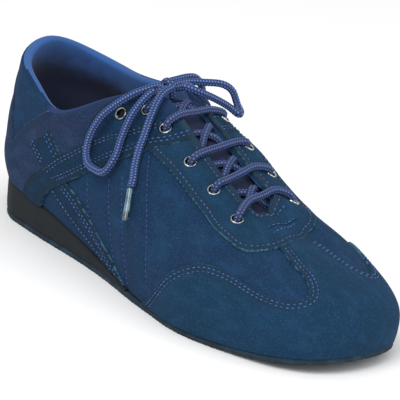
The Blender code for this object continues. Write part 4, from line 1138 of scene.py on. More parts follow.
@dataclass
class Stitching:
    """Rows of thread: each stitch is a short bar with rounded ends that dips into the leather."""

    last: Last
    finishes: Finishes
    overlays: Overlays
    pitch: float = 2.45
    length: float = 1.35
    radius: float = 0.25
    sides: int = 6
    probe: float = 0.4
    # Depth of the thread's middle in the leather, and its height over the quarters' folds
    bedded: float = 0.1
    fold_rise: float = 0.05
    tack_bedded: float = 0.05
    tack_pitch: float = 1.3
    tack_gap: float = 0.7
    jitter: float = 0.06
    seed: int = 11
    # Rings of a stitch: place along its half length, share of the radius, rise, brightness; the dim ends are
    # painted shade where the thread sinks into the leather
    rings: tuple = ((-1, 0.35, -0.35, 0.2), (-0.75, 0.9, 0.02, 0.7), (0, 1.0, 0.12, 1.0),
                    (0.75, 0.9, 0.02, 0.7), (1, 0.35, -0.35, 0.2))
    # Rows stop short of the sole and of the edge; the cap's rows stop under the eyestay
    lowest_t: float = 0.012
    highest_t: float = 0.99
    cap_end_t: float = 0.79
    # The throat's row starts this far ahead of the eyestay's end
    throat_start: float = 6.0
    # The first creases of the form are the sewn folds
    fold_count: int = 4
    # Part of the form round the throat's front, searched for the lines of the slit and its rows
    tack_u: tuple = (230, 330, 201)
    tack_t: tuple = (0.8, 0.98, 91)
    tack_samples: int = 16
    # Plan ends of the slit, of the row ahead of it and of the row at the throat's front
    tack_lines: tuple = (((56.5, -5.5), (54, 11)), ((60.5, -6), (55.5, 9.5)), ((48.5, 4.5), (46.5, 10)))

    def on_line(self, line: Array, length: Array, at: Array, height: float) -> Array:
        """Places at distances along a line of (u, t) places, at a height over the form."""
        return self.last.lift(np.interp(at, length, line[:, 0]), np.interp(at, length, line[:, 1]), height)

    def row(self, line: Array, height: float, pitch: float | None = None) -> Array:
        """Points of the stitches along a line of (u, t) places at a height over the form.

        Args:
            line: (u, t) places along the row.
            height: height of the leather over the form, in mm.
            pitch: distance from stitch to stitch, or none for the usual one.
        Returns:
            Points by stitch, ring and side of the bar.
        """
        last = self.last
        line = line[(line[:, 1] > self.lowest_t) & (line[:, 1] < self.highest_t)]
        length = run_length(last.point(line[:, 0], line[:, 1]))
        count = max(2, round(length[-1] / (pitch or self.pitch)))
        at = (np.arange(count) + 0.5) / count * length[-1]
        chance = np.random.default_rng(self.seed + count)
        at = at + chance.normal(0, self.jitter, count)
        half = self.length / 2 * (1 + chance.normal(0, self.jitter, count))
        centre = self.on_line(line, length, at, height)
        run = unit(self.on_line(line, length, at + self.probe, height)
                   - self.on_line(line, length, at - self.probe, height))
        up = last.normal(np.interp(at, length, line[:, 0]), np.interp(at, length, line[:, 1]))
        across = np.cross(up, run)
        x, share, dip, _ = np.array(self.rings).T
        thick = share * self.radius
        angle = 2 * np.pi * np.arange(self.sides) / self.sides
        offset_y = (thick[:, None] * np.cos(angle))[None, :, :, None] * across[:, None, None]
        offset_z = (thick[:, None] * np.sin(angle) + dip[:, None])[None, :, :, None] * up[:, None, None]
        offset_x = (half[:, None] * x)[:, :, None, None] * run[:, None, None]
        return centre[:, None, None] + offset_x + offset_y + offset_z

    def straight(self, start: tuple, end: tuple) -> Array:
        """Places round the front of the throat nearest to a line that is straight in plan.

        Args:
            start: x and y of its start.
            end: x and y of its end.
        Returns:
            Rows of (u, t) places.
        """
        u, t = np.meshgrid(np.linspace(*self.tack_u), np.linspace(*self.tack_t))
        plan = self.last.point(u, t)[..., :2].reshape(-1, 2)
        line = np.linspace(start, end, self.tack_samples)
        best = np.linalg.norm(plan - line[:, None], axis=-1).argmin(axis=1)
        return np.stack([u.ravel()[best], t.ravel()[best]], axis=1)

    def piece(self, name: str, rows: list, material: bpy.types.Material) -> None:
        """Join rows of stitches into one mesh.

        Args:
            name: piece name.
            rows: points of the stitches, row by row.
            material: finish of the thread.
        """
        stitches = np.concatenate(rows)
        rings = stitches.shape[1]
        size = rings * self.sides
        faces = grid_faces(rings, self.sides, wrap_columns=True)
        first = np.arange(1, self.sides - 1)
        start = np.stack([np.zeros_like(first), first + 1, first, first], axis=1)
        last_ring = (rings - 1) * self.sides
        tail = last_ring + first
        end = np.stack([np.full_like(first, last_ring), tail, tail + 1, tail + 1], axis=1)
        faces = np.vstack([faces, start, end])
        faces = (faces[None] + (np.arange(len(stitches)) * size)[:, None, None]).reshape(-1, 4)
        worn = np.random.default_rng(self.seed).uniform(0.35, 1.0, len(stitches))
        # Painted shade: each stitch darkens towards its ends, where it sinks into the leather
        bright = np.array(self.rings)[:, 3]
        bead = np.tile(np.repeat(bright, self.sides), len(stitches))
        bead = bead * np.repeat(worn, size)
        make_piece(name, stitches, faces, [material], (), {"bead": bead})

    def build(self) -> None:
        """Sew the rows of the straps, the toe cap and the eyestay, the folds of the quarters and the rows at
        the throat's front.
        """
        last, cut = self.last, self.overlays
        straps, folds = [], []
        double, single, inset = cut.double_rows, cut.double_rows[:1], cut.inset_rows
        for table, top, inward, distances, lowest in (
                (cut.strap_foot, STRAP_TOP_MM, 1, inset, 0.3),
                (cut.strap_top, STRAP_TOP_MM, -1, double, 0.33),
                (cut.cross_low_back, CAP_TOP_MM, 1, single, 0.0),
                (cut.cross_low_front, CAP_TOP_MM, -1, inset, 0.0),
                (cut.cross_top_back[:2], CROSS_TOP_MM, 1, double, 0.0),
                (cut.cross_top_front[:2], CROSS_TOP_MM, -1, double, 0.0)):
            for distance in distances:
                line = last.shifted(hermite(table), inward * distance)
                line = line[line[:, 1] > lowest]
                straps += [self.row(last.on_side(line, side), top - self.bedded) for side in Side]
        self.piece("strap_stitches", straps, self.finishes.thread)
        rows = []
        for table, side in zip((cut.cap_edge, cut.cap_edge_medial), Side):
            cap = hermite(table)
            cap = cap[cap[:, 1] < self.cap_end_t]
            rows += [self.row(last.on_side(last.shifted(cap, -distance), side), CAP_TOP_MM - self.bedded)
                     for distance in cut.double_rows]
        self.piece("toe_cap_stitches", rows, self.finishes.thread)
        stay = np.vstack([hermite(cut.stay_edge[1:])[:-1], last.mirrored(hermite(cut.stay_edge_medial[1:]))])
        throat = hermite(np.array(cut.stay_throat) + ((self.throat_start, 0), (0, 0)))
        throat = np.vstack([throat[:-1], last.mirrored(throat)])
        rows = [self.row(last.shifted(stay, cut.stay_row), STAY_TOP_MM - self.bedded),
                self.row(last.shifted(throat, -cut.stay_row), STAY_TOP_MM - self.bedded)]
        self.piece("eyestay_stitches", rows, self.finishes.thread)
        for crease in last.creases[:self.fold_count]:
            folds += [self.row(last.on_side(hermite(crease.line), side), self.fold_rise) for side in Side]
        self.piece("quarter_stitches", folds, self.finishes.fold_thread)
        slit, below, front = (self.straight(*ends) for ends in self.tack_lines)
        # Painted shade: close near-black stitches stand in for the shade inside the slit
        tack = self.row(slit, STAY_TOP_MM - self.tack_bedded, self.tack_pitch)
        self.piece("slit_shade_stitches", [tack], self.finishes.slit)
        rows = [self.row(line, STAY_TOP_MM - self.tack_bedded)
                for line in (last.shifted(slit, self.tack_gap), below, front)]
        self.piece("tack_stitches", rows, self.finishes.thread)


@dataclass
class Sole:
    """Outsole, wedge and insole, each a plate between the two sides of the feather line."""

    last: Last
    finishes: Finishes
    outsole_thick: float = 2.5
    insole_thick: float = 2.2
    outsole_proud: float = 0.6
    wedge_proud: float = 0.9
    wedge_bite: float = 0.25
    wedge_end_x: float = 6.0
    insole_inset: float = 2.2
    stations: int = 300
    ragged: float = 0.22
    ragged_share: float = 0.6
    # Shares of the width between the flat faces' columns, and their number
    flat_columns: tuple = (0.04, 0.96, 24)
    # Edge of a plate, from the lower corner up: distance in from the side in mm, share of the height
    side_rows: tuple = ((0.8, 0.0), (0.2, 0.05), (0.0, 0.2), (0.0, 0.5), (0.0, 0.8), (0.15, 0.95), (0.6, 1.0))

    def outsole_top(self, x: Array) -> Array:
        """Height of the outsole's upper face."""
        return self.last.ground(x) + self.outsole_thick

    def wedge_foot(self, x: Array) -> Array:
        """Height of the wedge's under face, level on the outsole."""
        return np.full_like(x, self.outsole_thick)

    def wedge_top(self, x: Array) -> Array:
        """Height of the wedge's upper face, a little into the seam of the upper."""
        return self.last.seat(x) + self.wedge_bite

    def insole_foot(self, x: Array) -> Array:
        """Height of the insole's under face."""
        return self.last.seat(x) + self.last.seam

    def insole_top(self, x: Array) -> Array:
        """Height of the insole's upper face."""
        return self.insole_foot(x) + self.insole_thick

    def outline(self, along: Array, inset: float) -> tuple[Array, Array]:
        """Plan points of the feather line, moved inwards.

        Args:
            along: stations along one side.
            inset: distance inwards, in mm.
        Returns:
            Lateral points and medial points.
        """
        lines = []
        for u in (along, self.last.loop - along):
            ahead, behind = self.last.point(u + PROBE_U_MM, 0.0), self.last.point(u - PROBE_U_MM, 0.0)
            run = unit((ahead - behind)[:, :2])
            outward = np.stack([run[:, 1], -run[:, 0]], axis=1)
            lines.append(self.last.point(u, 0.0)[:, :2] - inset * outward)
        return lines[0], lines[1]

    def plate(self, along: Array, inset: float, low: Height, high: Height,
              ragged: float) -> tuple[Array, Array]:
        """Points and faces of a plate: the section is carried from the heel to the toe.

        Args:
            along: stations along one side.
            inset: distance of the sides inside the feather line.
            low: height of the under face as a function of x.
            high: height of the upper face as a function of x.
            ragged: depth of the uneven cut of the lower edge.
        Returns:
            Points by station and place in the section, and quads.
        """
        lateral, medial = self.outline(along, inset)
        width = np.maximum(np.linalg.norm(medial - lateral, axis=1), 1e-3)[:, None]
        inward, rise = np.array(self.side_rows).T
        waves = np.sin(along * 1.9) + 0.7 * np.sin(along * 4.3 + 1) + 0.5 * np.sin(along * 0.6 + 2)
        wobble = ragged * waves
        near = np.minimum((inward + wobble[:, None] * (1 - rise)**2 * self.ragged_share) / width, 0.5)
        across = np.linspace(*self.flat_columns)
        middle = np.broadcast_to(across, (len(along), len(across)))
        share = np.concatenate([near, middle, (1 - near)[:, ::-1], middle[:, ::-1]], axis=1)
        height = np.concatenate([rise, np.ones(len(across)), rise[::-1], np.zeros(len(across))])
        plan = lateral[:, None] + (medial - lateral)[:, None] * share[..., None]
        bottom, top = low(plan[..., 0]), high(plan[..., 0])
        points = np.concatenate([plan, (bottom + (top - bottom) * height)[..., None]], axis=-1)
        return points, grid_faces(len(along), len(height), wrap_columns=True)

    def closed(self, points: Array, faces: Array) -> Array:
        """The plate's faces turned outwards, with the last station closed by a fan.

        Args:
            points: points by station and place in the section.
            faces: quads between the stations.
        Returns:
            Rows of four point numbers.
        """
        columns = points.shape[1]
        base = (points.shape[0] - 1) * columns
        k = np.arange(1, columns - 1)
        fan = np.stack([np.full_like(k, base), base + k, base + k + 1, base + k + 1], axis=1)
        return np.vstack([faces[:, ::-1], fan[:, [0, 2, 1, 1]]])

    def build(self) -> None:
        """Build and dress the three plates."""
        last = self.last
        along = np.linspace(0, last.side, self.stations)
        points, faces = self.plate(along, -self.outsole_proud, last.ground, self.outsole_top, self.ragged)
        make_piece("outsole_split", points, self.closed(points, faces), [self.finishes.split],
                   ("outsole",))
        back = np.linspace(0, last.along("mid", self.wedge_end_x), self.stations)
        points, faces = self.plate(back, -self.wedge_proud, self.wedge_foot, self.wedge_top, self.ragged / 2)
        make_piece("wedge_foam", points, self.closed(points, faces), [self.finishes.foam],
                   ("wedge",))
        # The insole takes the lining's deep colour, partly painted shade of the shoe's inside
        points, faces = self.plate(along, self.insole_inset, self.insole_foot, self.insole_top, 0.0)
        make_piece("insole_sock", points, self.closed(points, faces), [self.finishes.lining],
                   ("insole",), {"depth": np.full(points.shape[:2], NO_EDGE)})


@dataclass
class Tongue:
    """Padded sheet under the throat: level sides under the facings and a crown between them."""

    last: Last
    finishes: Finishes
    front_x: float = 52.0
    top_x: float = -27.0
    half_front: float = 17.0
    half_top: float = 21.0
    thick: float = 2.4
    clear: float = 2.85
    rows: int = 60
    columns: int = 41
    rib_samples: int = 80
    lean_share: float = 0.02
    crown_limit: float = 0.97
    smooth_rows: int = 13
    rim_length: float = 2.5
    rim_share: float = 0.15
    end_scale: float = 10.0

    def roof(self, x: Array, y: Array) -> Array:
        """Height of the upper over plan points.

        Args:
            x: x of the points.
            y: y of the points.
        Returns:
            Heights, and not a number over the open throat.
        """
        last = self.last
        fan = x > last.toe_axis_x
        reach = np.where(fan, np.hypot(x - last.toe_axis_x, y), np.abs(y))
        angle = np.arctan2(np.abs(y), np.maximum(x - last.toe_axis_x, 1e-9))
        round_toe = last.toe_start + last.toe_round * (math.pi / 2 - angle)
        along = np.where(fan, round_toe, last.heel_end + x - last.heel_axis_x)
        u = np.where(y <= 0, along, last.loop - along)
        count = self.rib_samples
        t = np.linspace(last.bulge_t, 1, count)
        radius, height = last.profile(np.broadcast_to(u[..., None], (*u.shape, count)), t)
        k = np.clip((radius > reach[..., None]).sum(axis=-1) - 1, 0, count - 2)[..., None]
        share = (reach - pick(radius, k)) / (pick(radius, k + 1) - pick(radius, k))
        found = pick(height, k) + (pick(height, k + 1) - pick(height, k)) * share
        return np.where(reach < radius[..., -1], np.nan, found)

    def outer(self) -> Array:
        """The outer face: as high a crown in every row as clears the upper.

        Returns:
            Points by row from the front and column from the lateral side.
        """
        share = np.linspace(0, 1, self.rows)[:, None]
        place = np.linspace(-1, 1, self.columns)[None, :]
        x = np.broadcast_to(self.front_x + (self.top_x - self.front_x) * share, (self.rows, self.columns))
        half = self.half_front + (self.half_top - self.half_front) * share
        y = half * place
        over = self.roof(x, y)
        beside = self.roof(x, y * (1 + self.lean_share))
        lean = (over - beside) / np.maximum(np.abs(y) * self.lean_share, 1e-6)
        limit = over - self.clear * np.hypot(1, lean)
        base = limit[:, :1] + (limit[:, -1:] - limit[:, :1]) * (place + 1) / 2
        bow = np.where(np.abs(place) < self.crown_limit, 1 - place**2, np.nan)
        crown = np.nanmin((limit - base) / bow, axis=1, keepdims=True)
        window = np.hanning(self.smooth_rows)
        padded = np.pad(crown[:, 0], self.smooth_rows // 2, mode="edge")
        crown = np.convolve(padded, window / window.sum(), mode="valid")[:, None]
        return np.stack([x, y, base + crown * (1 - place**2)], axis=-1)

    def height(self, x: Array, y: Array) -> Array:
        """Height of the outer face near the middle.

        Args:
            x: x of the plan points.
            y: y of the plan points.
        Returns:
            Heights.
        """
        grid = self.outer()
        rows = np.interp(x, grid[::-1, 0, 0], np.arange(self.rows)[::-1])
        middle = grid[:, self.columns // 2, 2]
        edge = (grid[:, 0, 2] + grid[:, -1, 2]) / 2
        edge_z = np.interp(rows, np.arange(self.rows), edge)
        middle_z = np.interp(rows, np.arange(self.rows), middle)
        half = self.half_front + (self.half_top - self.half_front) * rows / (self.rows - 1)
        return edge_z + (middle_z - edge_z) * (1 - (y / half)**2)

    def build(self) -> None:
        """Build the sheet and dress it."""
        outer = self.outer()
        normal = unit(np.cross(np.gradient(outer, axis=1), np.gradient(outer, axis=0)))
        normal = normal * np.sign(normal[..., 2:])
        share = np.linspace(0, 1, self.rows)[:, None]
        place = np.linspace(-1, 1, self.columns)[None, :]
        ends = np.minimum(self.end_scale * (1 - share), self.end_scale * share)
        rim = np.minimum(1 - np.abs(place), ends) * self.half_front
        swell = np.sqrt(1 - (1 - np.clip(rim / self.rim_length, 0, 1))**2)
        middle = outer - normal * self.thick / 2
        half = normal * (self.thick / 2 * (self.rim_share + (1 - self.rim_share) * swell))[..., None]
        top, under = middle + half, middle - half
        total = self.rows * self.columns
        faces = sheet_faces(self.rows, self.columns)
        points = np.vstack([top.reshape(-1, 3), under.reshape(-1, 3)])
        flip = np.cross(top[1, 2] - top[1, 1], top[2, 1] - top[1, 1])[2] < 0
        make_piece("tongue_suede", points, faces[:, ::-1] if flip else faces, [self.finishes.tongue],
                   ("tongue",), {"edge": np.full(2 * total, NO_EDGE)})


@dataclass
class Eyelets:
    """Turned metal rings: a rolled flange outside and a barrel through the leather."""

    last: Last
    finishes: Finishes
    bore: float = 2.1
    flange: float = 2.95
    rise: float = 0.65
    wall: float = 1.8
    barrel_wall: float = 0.3
    bedded: float = 0.1
    sides: int = 40
    arc: int = 12

    def build(self) -> None:
        """Turn one profile about every eyelet's axis and join the rings."""
        turn = np.linspace(0, math.pi, self.arc)
        middle, half = (self.bore + self.flange) / 2, (self.flange - self.bore) / 2
        angle = 2 * np.pi * np.arange(self.sides) / self.sides
        rings, faces = [], []
        for point, normal, base in eyelet_frames(self.last):
            radius = np.concatenate([middle + half * np.cos(turn), [self.bore, self.bore + self.barrel_wall]])
            height = np.concatenate([base - self.bedded + self.rise * np.sin(turn), [-self.wall, -self.wall]])
            across = unit(np.cross(normal, (0.0, 0.0, 1.0)))
            raised = np.cross(normal, across)
            spoke = np.cos(angle)[:, None] * across + np.sin(angle)[:, None] * raised
            rings.append(point + height[:, None, None] * normal + radius[:, None, None] * spoke)
            ring_faces = grid_faces(len(radius), self.sides, wrap_columns=True)
            faces.append(ring_faces + len(faces) * len(radius) * self.sides)
        numbers = range(1, EYELET_COUNT + 1)
        nodes = tuple(f"eyelet_{side.value}_{number}" for side in Side for number in numbers)
        make_piece("eyelets", np.array(rings), np.vstack(faces), [self.finishes.metal], nodes)


@dataclass
class Lace:
    """One braided lace: bars and crossings through the eyelets, and a bow with two tipped ends."""

    last: Last
    finishes: Finishes
    tongue: Tongue
    radius: float = 1.62
    sides: int = 24
    step: float = 0.26
    bead_pitch: float = 1.3
    bead_columns: int = 6
    bead_rise: float = 0.16
    knot: tuple = ((-30, -3.2, 79.5), (-29.2, -3.1, 82.2), (-27.2, -3, 83.6), (-24.8, -2.9, 82.8),
                   (-23.2, -2.8, 80), (-22.4, -2.8, 76.5))
    loop_lateral: tuple = (
        (-26.5, -5.5, 81.5), (-26.5, -10, 82), (-27, -14.5, 81), (-29.5, -19.5, 78.5), (-34, -26, 72.5),
        (-37, -30, 67), (-39, -33, 59.5), (-38, -35.5, 52.5), (-34, -37, 48), (-27.5, -37.5, 47),
        (-21, -37.5, 48), (-18, -35.5, 53), (-18.5, -33, 57), (-20.5, -30, 62), (-22, -26, 68.5),
        (-22.5, -23, 73), (-22.5, -19, 77.5), (-22.5, -15, 80.5), (-22.5, -12.5, 81.5))
    loop_medial: tuple = (
        (-26.5, -0.5, 81.5), (-27, 3.5, 82), (-26, 8, 82.5), (-23, 14, 82.5), (-19.5, 21, 82),
        (-17.5, 25.5, 79), (-15.5, 27.5, 73), (-11.5, 26.5, 71), (-9, 23.5, 71), (-12, 20, 74),
        (-13, 13, 78), (-13, 4.5, 82), (-16.5, 0.5, 83.5), (-20.5, 0.5, 82.5))
    end_lateral: tuple = (
        (-21.2, -4.2, 82.5), (-18.5, -11, 81.5), (-16, -16, 78), (-12.5, -21.5, 72), (-9.5, -26, 66),
        (-7.5, -29.5, 61), (-4, -33.5, 55), (-1, -36, 50.5), (0.5, -38, 47.5))
    end_medial: tuple = (
        (-31, 0.5, 82), (-31, 5, 82.5), (-31, 10, 83), (-31, 14.5, 82.5), (-32, 18.5, 79.5), (-34, 21.5, 75),
        (-36, 24.5, 70), (-36.5, 27, 65), (-35, 28.5, 60), (-33, 30, 55.5), (-31, 31.5, 52))
    strand_lateral: tuple = ((-23.4, -9.4, 81.2), (-24.4, -5.5, 81), (-25.4, -3, 80.5))
    strand_medial: tuple = ((-23.4, 6.5, 81.5), (-24.4, 3, 81), (-25.4, -0.5, 80.5))
    throat_y: float = -1.5
    aglet_lateral: tuple = ((0.5, -38, 47.5), (6, -43.5, 35))
    aglet_medial: tuple = ((-31, 31.5, 52), (-28.5, 34, 38.5))
    aglet_radius: float = 1.35
    # Bars: each pair is a distance along the eyelet's axis and one towards the throat, below the eyelet,
    # in its mouth and on the facing; then the place and the dip at the throat's edge
    bar_count: int = 4
    bar_depth: tuple = (3.0, 0.5)
    bar_mouth: tuple = (0.6, 0.4)
    bar_facing: tuple = (0.35, 3.0)
    bar_edge_t: float = 0.99
    bar_edge_dip: float = 0.3
    # Crossings: shares of the way that lie on the tongue and their number, half length of the S, half width
    # of the open throat and its fade, height over the tongue, depth below the eyelets, rise of the upper one
    cross_share: tuple = (0.06, 0.94, 11)
    cross_half: float = 18.0
    cross_open: float = 6.5
    cross_fade: float = 4.0
    cross_clear: float = 0.2
    cross_depth: float = 2.6
    cross_over: float = 1.2
    # Strands to the knot: number of their eyelet from 0, depth below it, rise in it, step over the facing
    strand_eyelet: int = 4
    strand_depth: float = 2.5
    strand_rise: float = 0.4
    strand_step: tuple = (0.2, 2.2, 0.9)
    # Rounded tips of a cord: length as a share of the radius, and depth of the rounding
    tip_share: float = 0.6
    tip_round: float = 0.98
    first_side: tuple = (0.3, 0.2, 1.0)
    declared_step: int = 8

    def route(self, points: Array) -> Array:
        """Even steps along a smooth curve through the points."""
        curve = hermite(points)
        return at_shares(curve, np.linspace(0, 1, max(8, round(run_length(curve)[-1] / self.step))))

    def tube(self, path: Array, radius: float, beads: bool) -> tuple[Array, Array, Array]:
        """A round cord along a path, its frame carried along without twist.

        Args:
            path: centre line.
            radius: radius of the cord.
            beads: raise the yarns of the braid, in columns of beads along the cord.
        Returns:
            Points by ring and side, bead heights, and faces with both ends closed.
        """
        run = unit(np.gradient(path, axis=0))
        side = np.empty_like(run)
        side[0] = unit(np.cross(run[0], self.first_side))
        for k in range(1, len(run)):
            side[k] = side[k - 1] - run[k] * (side[k - 1] @ run[k])
            side[k] /= np.linalg.norm(side[k])
        raised = np.cross(run, side)
        angle = 2 * np.pi * np.arange(self.sides) / self.sides
        length = run_length(path)[:, None]
        turn = angle[None, :] * self.bead_columns
        stagger = np.pi * (np.round(turn / (2 * np.pi)) % 2)
        phase = 2 * np.pi * length / self.bead_pitch + stagger
        # The bead height also sets the colour, which paints shade into the hollows
        bead = (0.5 + 0.5 * np.cos(phase)) * (0.5 + 0.5 * np.cos(turn)) * beads
        ends = np.minimum(length, length[-1] - length)
        cap = np.sqrt(1 - (1 - np.clip(ends / (self.tip_share * radius), 0, 1))**2 * self.tip_round)
        size = (radius + self.bead_rise * (bead - 0.5) * beads) * cap
        spoke = np.cos(angle)[:, None] * side[:, None] + np.sin(angle)[:, None] * raised[:, None]
        points = path[:, None] + size[..., None] * spoke
        faces = grid_faces(len(path), self.sides, wrap_columns=True)
        k = np.arange(1, self.sides - 1)
        end = (len(path) - 1) * self.sides
        first_cap = np.stack([0 * k, k + 1, k, k], axis=1)
        last_cap = end + np.stack([0 * k, k, k + 1, k + 1], axis=1)
        return points, bead, np.vstack([faces, first_cap, last_cap])

    def bar(self, number: int) -> Array:
        """Route over the throat between two eyelets, up through one and down through the other.

        Args:
            number: number of the bar, from 1 at the toe.
        Returns:
            Points of the route.
        """
        frames = eyelet_frames(self.last)
        points = []
        for side, k in ((Side.LATERAL, number - 1), (Side.MEDIAL, number - 1 + EYELET_COUNT)):
            point, normal, base = frames[k]
            along = EYELETS[side][number - 1].along
            u = along if side is Side.LATERAL else self.last.loop - along
            height = base + self.radius
            edge = self.last.lift(np.array([u]), np.array([self.bar_edge_t]), height - self.bar_edge_dip)[0]
            inward = unit(edge - point)
            points.append([point - normal * self.bar_depth[0] - inward * self.bar_depth[1],
                           point + normal * (base - self.bar_mouth[0]) + inward * self.bar_mouth[1],
                           point + normal * (height - self.bar_facing[0]) + inward * self.bar_facing[1],
                           edge])
        middle = (points[0][-1] + points[1][-1]) / 2
        return self.route(np.array(points[0] + [middle] + points[1][::-1]))

    def crossing(self, number: int, side: Side, rise: float) -> Array:
        """Route under the facings from an eyelet of one row to the next eyelet of the other row.

        Args:
            number: number of the first eyelet, from 1 at the toe.
            side: row of the first eyelet.
            rise: extra height over the tongue where the strands cross.
        Returns:
            Points of the route.
        """
        frames = eyelet_frames(self.last)
        here, there = (0, EYELET_COUNT) if side is Side.LATERAL else (EYELET_COUNT, 0)
        start, end = frames[here + number - 1], frames[there + number]
        y = start[0][1] + (end[0][1] - start[0][1]) * np.linspace(*self.cross_share)
        onward = np.sign(end[0][1] - start[0][1])
        gone = smooth_step(onward * (y - self.throat_y), -self.cross_half, self.cross_half)
        x = start[0][0] + (end[0][0] - start[0][0]) * gone
        open_part = smooth_step(self.cross_open - np.abs(y - self.throat_y), 0, self.cross_fade)
        slope = np.abs(self.tongue.height(x + 1, y) - self.tongue.height(x, y))
        clear = self.cross_clear + (self.radius + rise) * open_part
        z = self.tongue.height(x, y) + clear * np.hypot(1, slope)
        middle = np.stack([x, y, z], axis=1)
        below = [place[0] - place[1] * self.cross_depth for place in (start, end)]
        return self.route(np.vstack([below[0], middle, below[1]]))

    def strand(self, side: Side) -> Array:
        """Route from the fifth eyelet up over the facing to the knot.

        Args:
            side: row of the eyelet.
        Returns:
            Points of the route.
        """
        k = self.strand_eyelet + (0 if side is Side.LATERAL else EYELET_COUNT)
        point, normal, base = eyelet_frames(self.last)[k]
        inward = 1 if side is Side.LATERAL else -1
        over = np.array(self.strand_step) * (1, inward, 1)
        start = [point - normal * self.strand_depth, point + normal * (base + self.strand_rise),
                 point + normal * (base + self.radius) + over]
        return self.route(np.array([*start, *getattr(self, f"strand_{side.value}")]))

    def run(self) -> None:
        """Build the laced part as one mesh."""
        numbers = range(1, self.bar_count + 1)
        routes = [self.bar(number) for number in numbers]
        for number in numbers:
            routes += [self.crossing(number, Side.LATERAL, self.cross_over),
                       self.crossing(number, Side.MEDIAL, 0.0)]
        routes += [self.strand(side) for side in Side]
        points, beads, faces, count = [], [], [], 0
        for route in routes:
            tube, bead, quads = self.tube(route, self.radius, True)
            points.append(tube.reshape(-1, 3))
            beads.append(bead.ravel())
            faces.append(quads + count)
            count += tube.shape[0] * tube.shape[1]
        nodes = tuple(f"lace_{kind}_{number}" for kind in ("bar", "cross") for number in numbers)
        # The laced part wears the darker copy of the braid: painted shade between the facings
        make_piece("lace_run", np.vstack(points), np.vstack(faces), [self.finishes.lace], nodes,
                   {"bead": np.concatenate(beads)})

    def free(self, name: str, points: tuple, radius: float, material: bpy.types.Material, slot: str,
             beads: bool = True) -> tuple[bpy.types.Object, Array]:
        """A free length of the lace, or an aglet.

        Args:
            name: CAD node that the piece stands for.
            points: places that the route goes through.
            radius: radius of the cord.
            material: finish of the cord.
            slot: not used.
            beads: raise the yarns of the braid.
        Returns:
            The piece and its route.
        """
        route = self.route(np.array(points, float))
        tube, bead, faces = self.tube(route, radius, beads)
        piece = make_piece(f"braid_{name}", tube, faces, [material], (name,), {"bead": bead})
        return piece, route

    def bow(self) -> None:
        lace, film = self.finishes.bow_lace, self.finishes.film
        knot, _ = self.free("lace_knot", self.knot, self.radius, lace, "lace")
        for side in Side:
            name = side.value
            turns, tail, sleeve = (getattr(self, f"{part}_{name}") for part in ("loop", "end", "aglet"))
            loop, route = self.free(f"lace_loop_{name}", turns, self.radius, lace, "lace")
            tip, _ = self.free(f"aglet_{name}", sleeve, self.aglet_radius, film, "aglet", False)
            end, route = self.free(f"lace_end_{name}", tail, self.radius, lace, "lace")

    def build(self) -> None:
        """Build the whole lace."""
        self.bow()
        self.run()


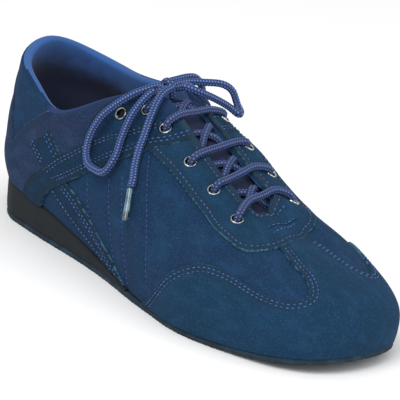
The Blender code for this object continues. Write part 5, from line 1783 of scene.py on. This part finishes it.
@dataclass
class Studio:
    """Pale floor, soft light and the camera, fitted to the photograph's view of the shoe."""

    azimuth: float = 53.212
    elevation: float = 18.054
    roll: float = 4.742
    distance: float = 1.505247
    target: tuple = (0.0, 0.0, 0.035)
    lens: float = 311.75
    sensor: float = 36.0
    shift_y: float = 0.0114
    floor_size: float = 8.0
    floor_colour: str = "#fafafa"
    view_end: float = 50.0
    world_light: float = 0.75
    # Soft lights: name, place, size and power
    lights: tuple = (("key", (0.5, -0.9, 1.3), 1.0, 14.0), ("fill", (1.2, 0.4, 0.8), 1.0, 5.0))

    def axes(self) -> tuple[Array, Array, Array]:
        """Directions of the camera, from its angles.

        Returns:
            Its right, up and back.
        """
        a, e, r = (math.radians(angle) for angle in (self.azimuth, self.elevation, self.roll))
        back = np.array([math.sin(a) * math.cos(e), -math.cos(a) * math.cos(e), math.sin(e)])
        right = np.array([math.cos(a), math.sin(a), 0.0])
        up = np.cross(back, right)
        return right * math.cos(r) + up * math.sin(r), up * math.cos(r) - right * math.sin(r), back

    def camera(self) -> None:
        """Place the camera."""
        right, up, back = self.axes()
        data = bpy.data.cameras.new("photo_camera")
        data.lens, data.sensor_width, data.sensor_fit = self.lens, self.sensor, "HORIZONTAL"
        data.shift_y = self.shift_y
        data.clip_end = self.view_end
        camera = bpy.data.objects.new("photo_camera", data)
        bpy.context.scene.collection.objects.link(camera)
        matrix = np.eye(4)
        matrix[:3, 0], matrix[:3, 1], matrix[:3, 2] = right, up, back
        matrix[:3, 3] = np.array(self.target) + back * self.distance
        camera.matrix_world = matrix.T.tolist()
        bpy.context.scene.camera = camera

    def light(self, name: str, place: tuple, size: float, power: float) -> None:
        """A square soft light that faces the shoe.

        Args:
            name: name of the light.
            place: its place in metres.
            size: width of the square.
            power: power in watts.
        """
        data = bpy.data.lights.new(name, "AREA")
        data.size, data.energy = size, power
        lamp = bpy.data.objects.new(name, data)
        bpy.context.scene.collection.objects.link(lamp)
        back = unit(np.array(place) - np.array(self.target))
        right = unit(np.cross((0.0, 1.0, 0.001), back))
        matrix = np.eye(4)
        matrix[:3, 0], matrix[:3, 1], matrix[:3, 2], matrix[:3, 3] = right, np.cross(back, right), back, place
        lamp.matrix_world = matrix.T.tolist()

    def build(self) -> None:
        """Set floor, world, lights and camera."""
        # Floor: pale matte paper, without any shine
        material, _, shader = new_material("pale_studio_paper")
        shader.inputs["Base Color"].default_value = linear(self.floor_colour)
        shader.inputs["Roughness"].default_value = 1.0
        shader.inputs["Specular IOR Level"].default_value = 0.0
        half = self.floor_size / 2
        mesh = bpy.data.meshes.new("studio_floor")
        corners = [(-half, -half, 0), (half, -half, 0), (half, half, 0), (-half, half, 0)]
        mesh.from_pydata(corners, [], [(0, 1, 2, 3)])
        mesh.materials.append(material)
        floor = bpy.data.objects.new("studio_floor", mesh)
        bpy.context.scene.collection.objects.link(floor)
        floor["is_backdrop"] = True
        world = bpy.data.worlds.new("studio_world")
        world.use_nodes = True
        world.node_tree.nodes["Background"].inputs[0].default_value = (1.0, 1.0, 1.0, 1.0)
        world.node_tree.nodes["Background"].inputs[1].default_value = self.world_light
        bpy.context.scene.world = world
        for row in self.lights:
            self.light(*row)
        bpy.context.scene.view_settings.view_transform = "Standard"
        self.camera()


def main() -> None:
    """Build the pieces in order."""
    logging.basicConfig(level=logging.INFO, format="%(message)s")
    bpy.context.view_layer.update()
    finishes = Finishes()
    last = Last()
    overlays = Overlays(last, finishes)
    tongue = Tongue(last, finishes)
    parts = (Studio(), Lace(last, finishes, tongue), Upper(last, finishes), overlays,
             Stitching(last, finishes, overlays), Sole(last, finishes), tongue, Eyelets(last, finishes))
    for part in parts:
        part.build()
        LOG.info("built %s", type(part).__name__)
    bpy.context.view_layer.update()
    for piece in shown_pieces():
        LOG.info("piece %s", piece.name)


if __name__ == "__main__":
    main()
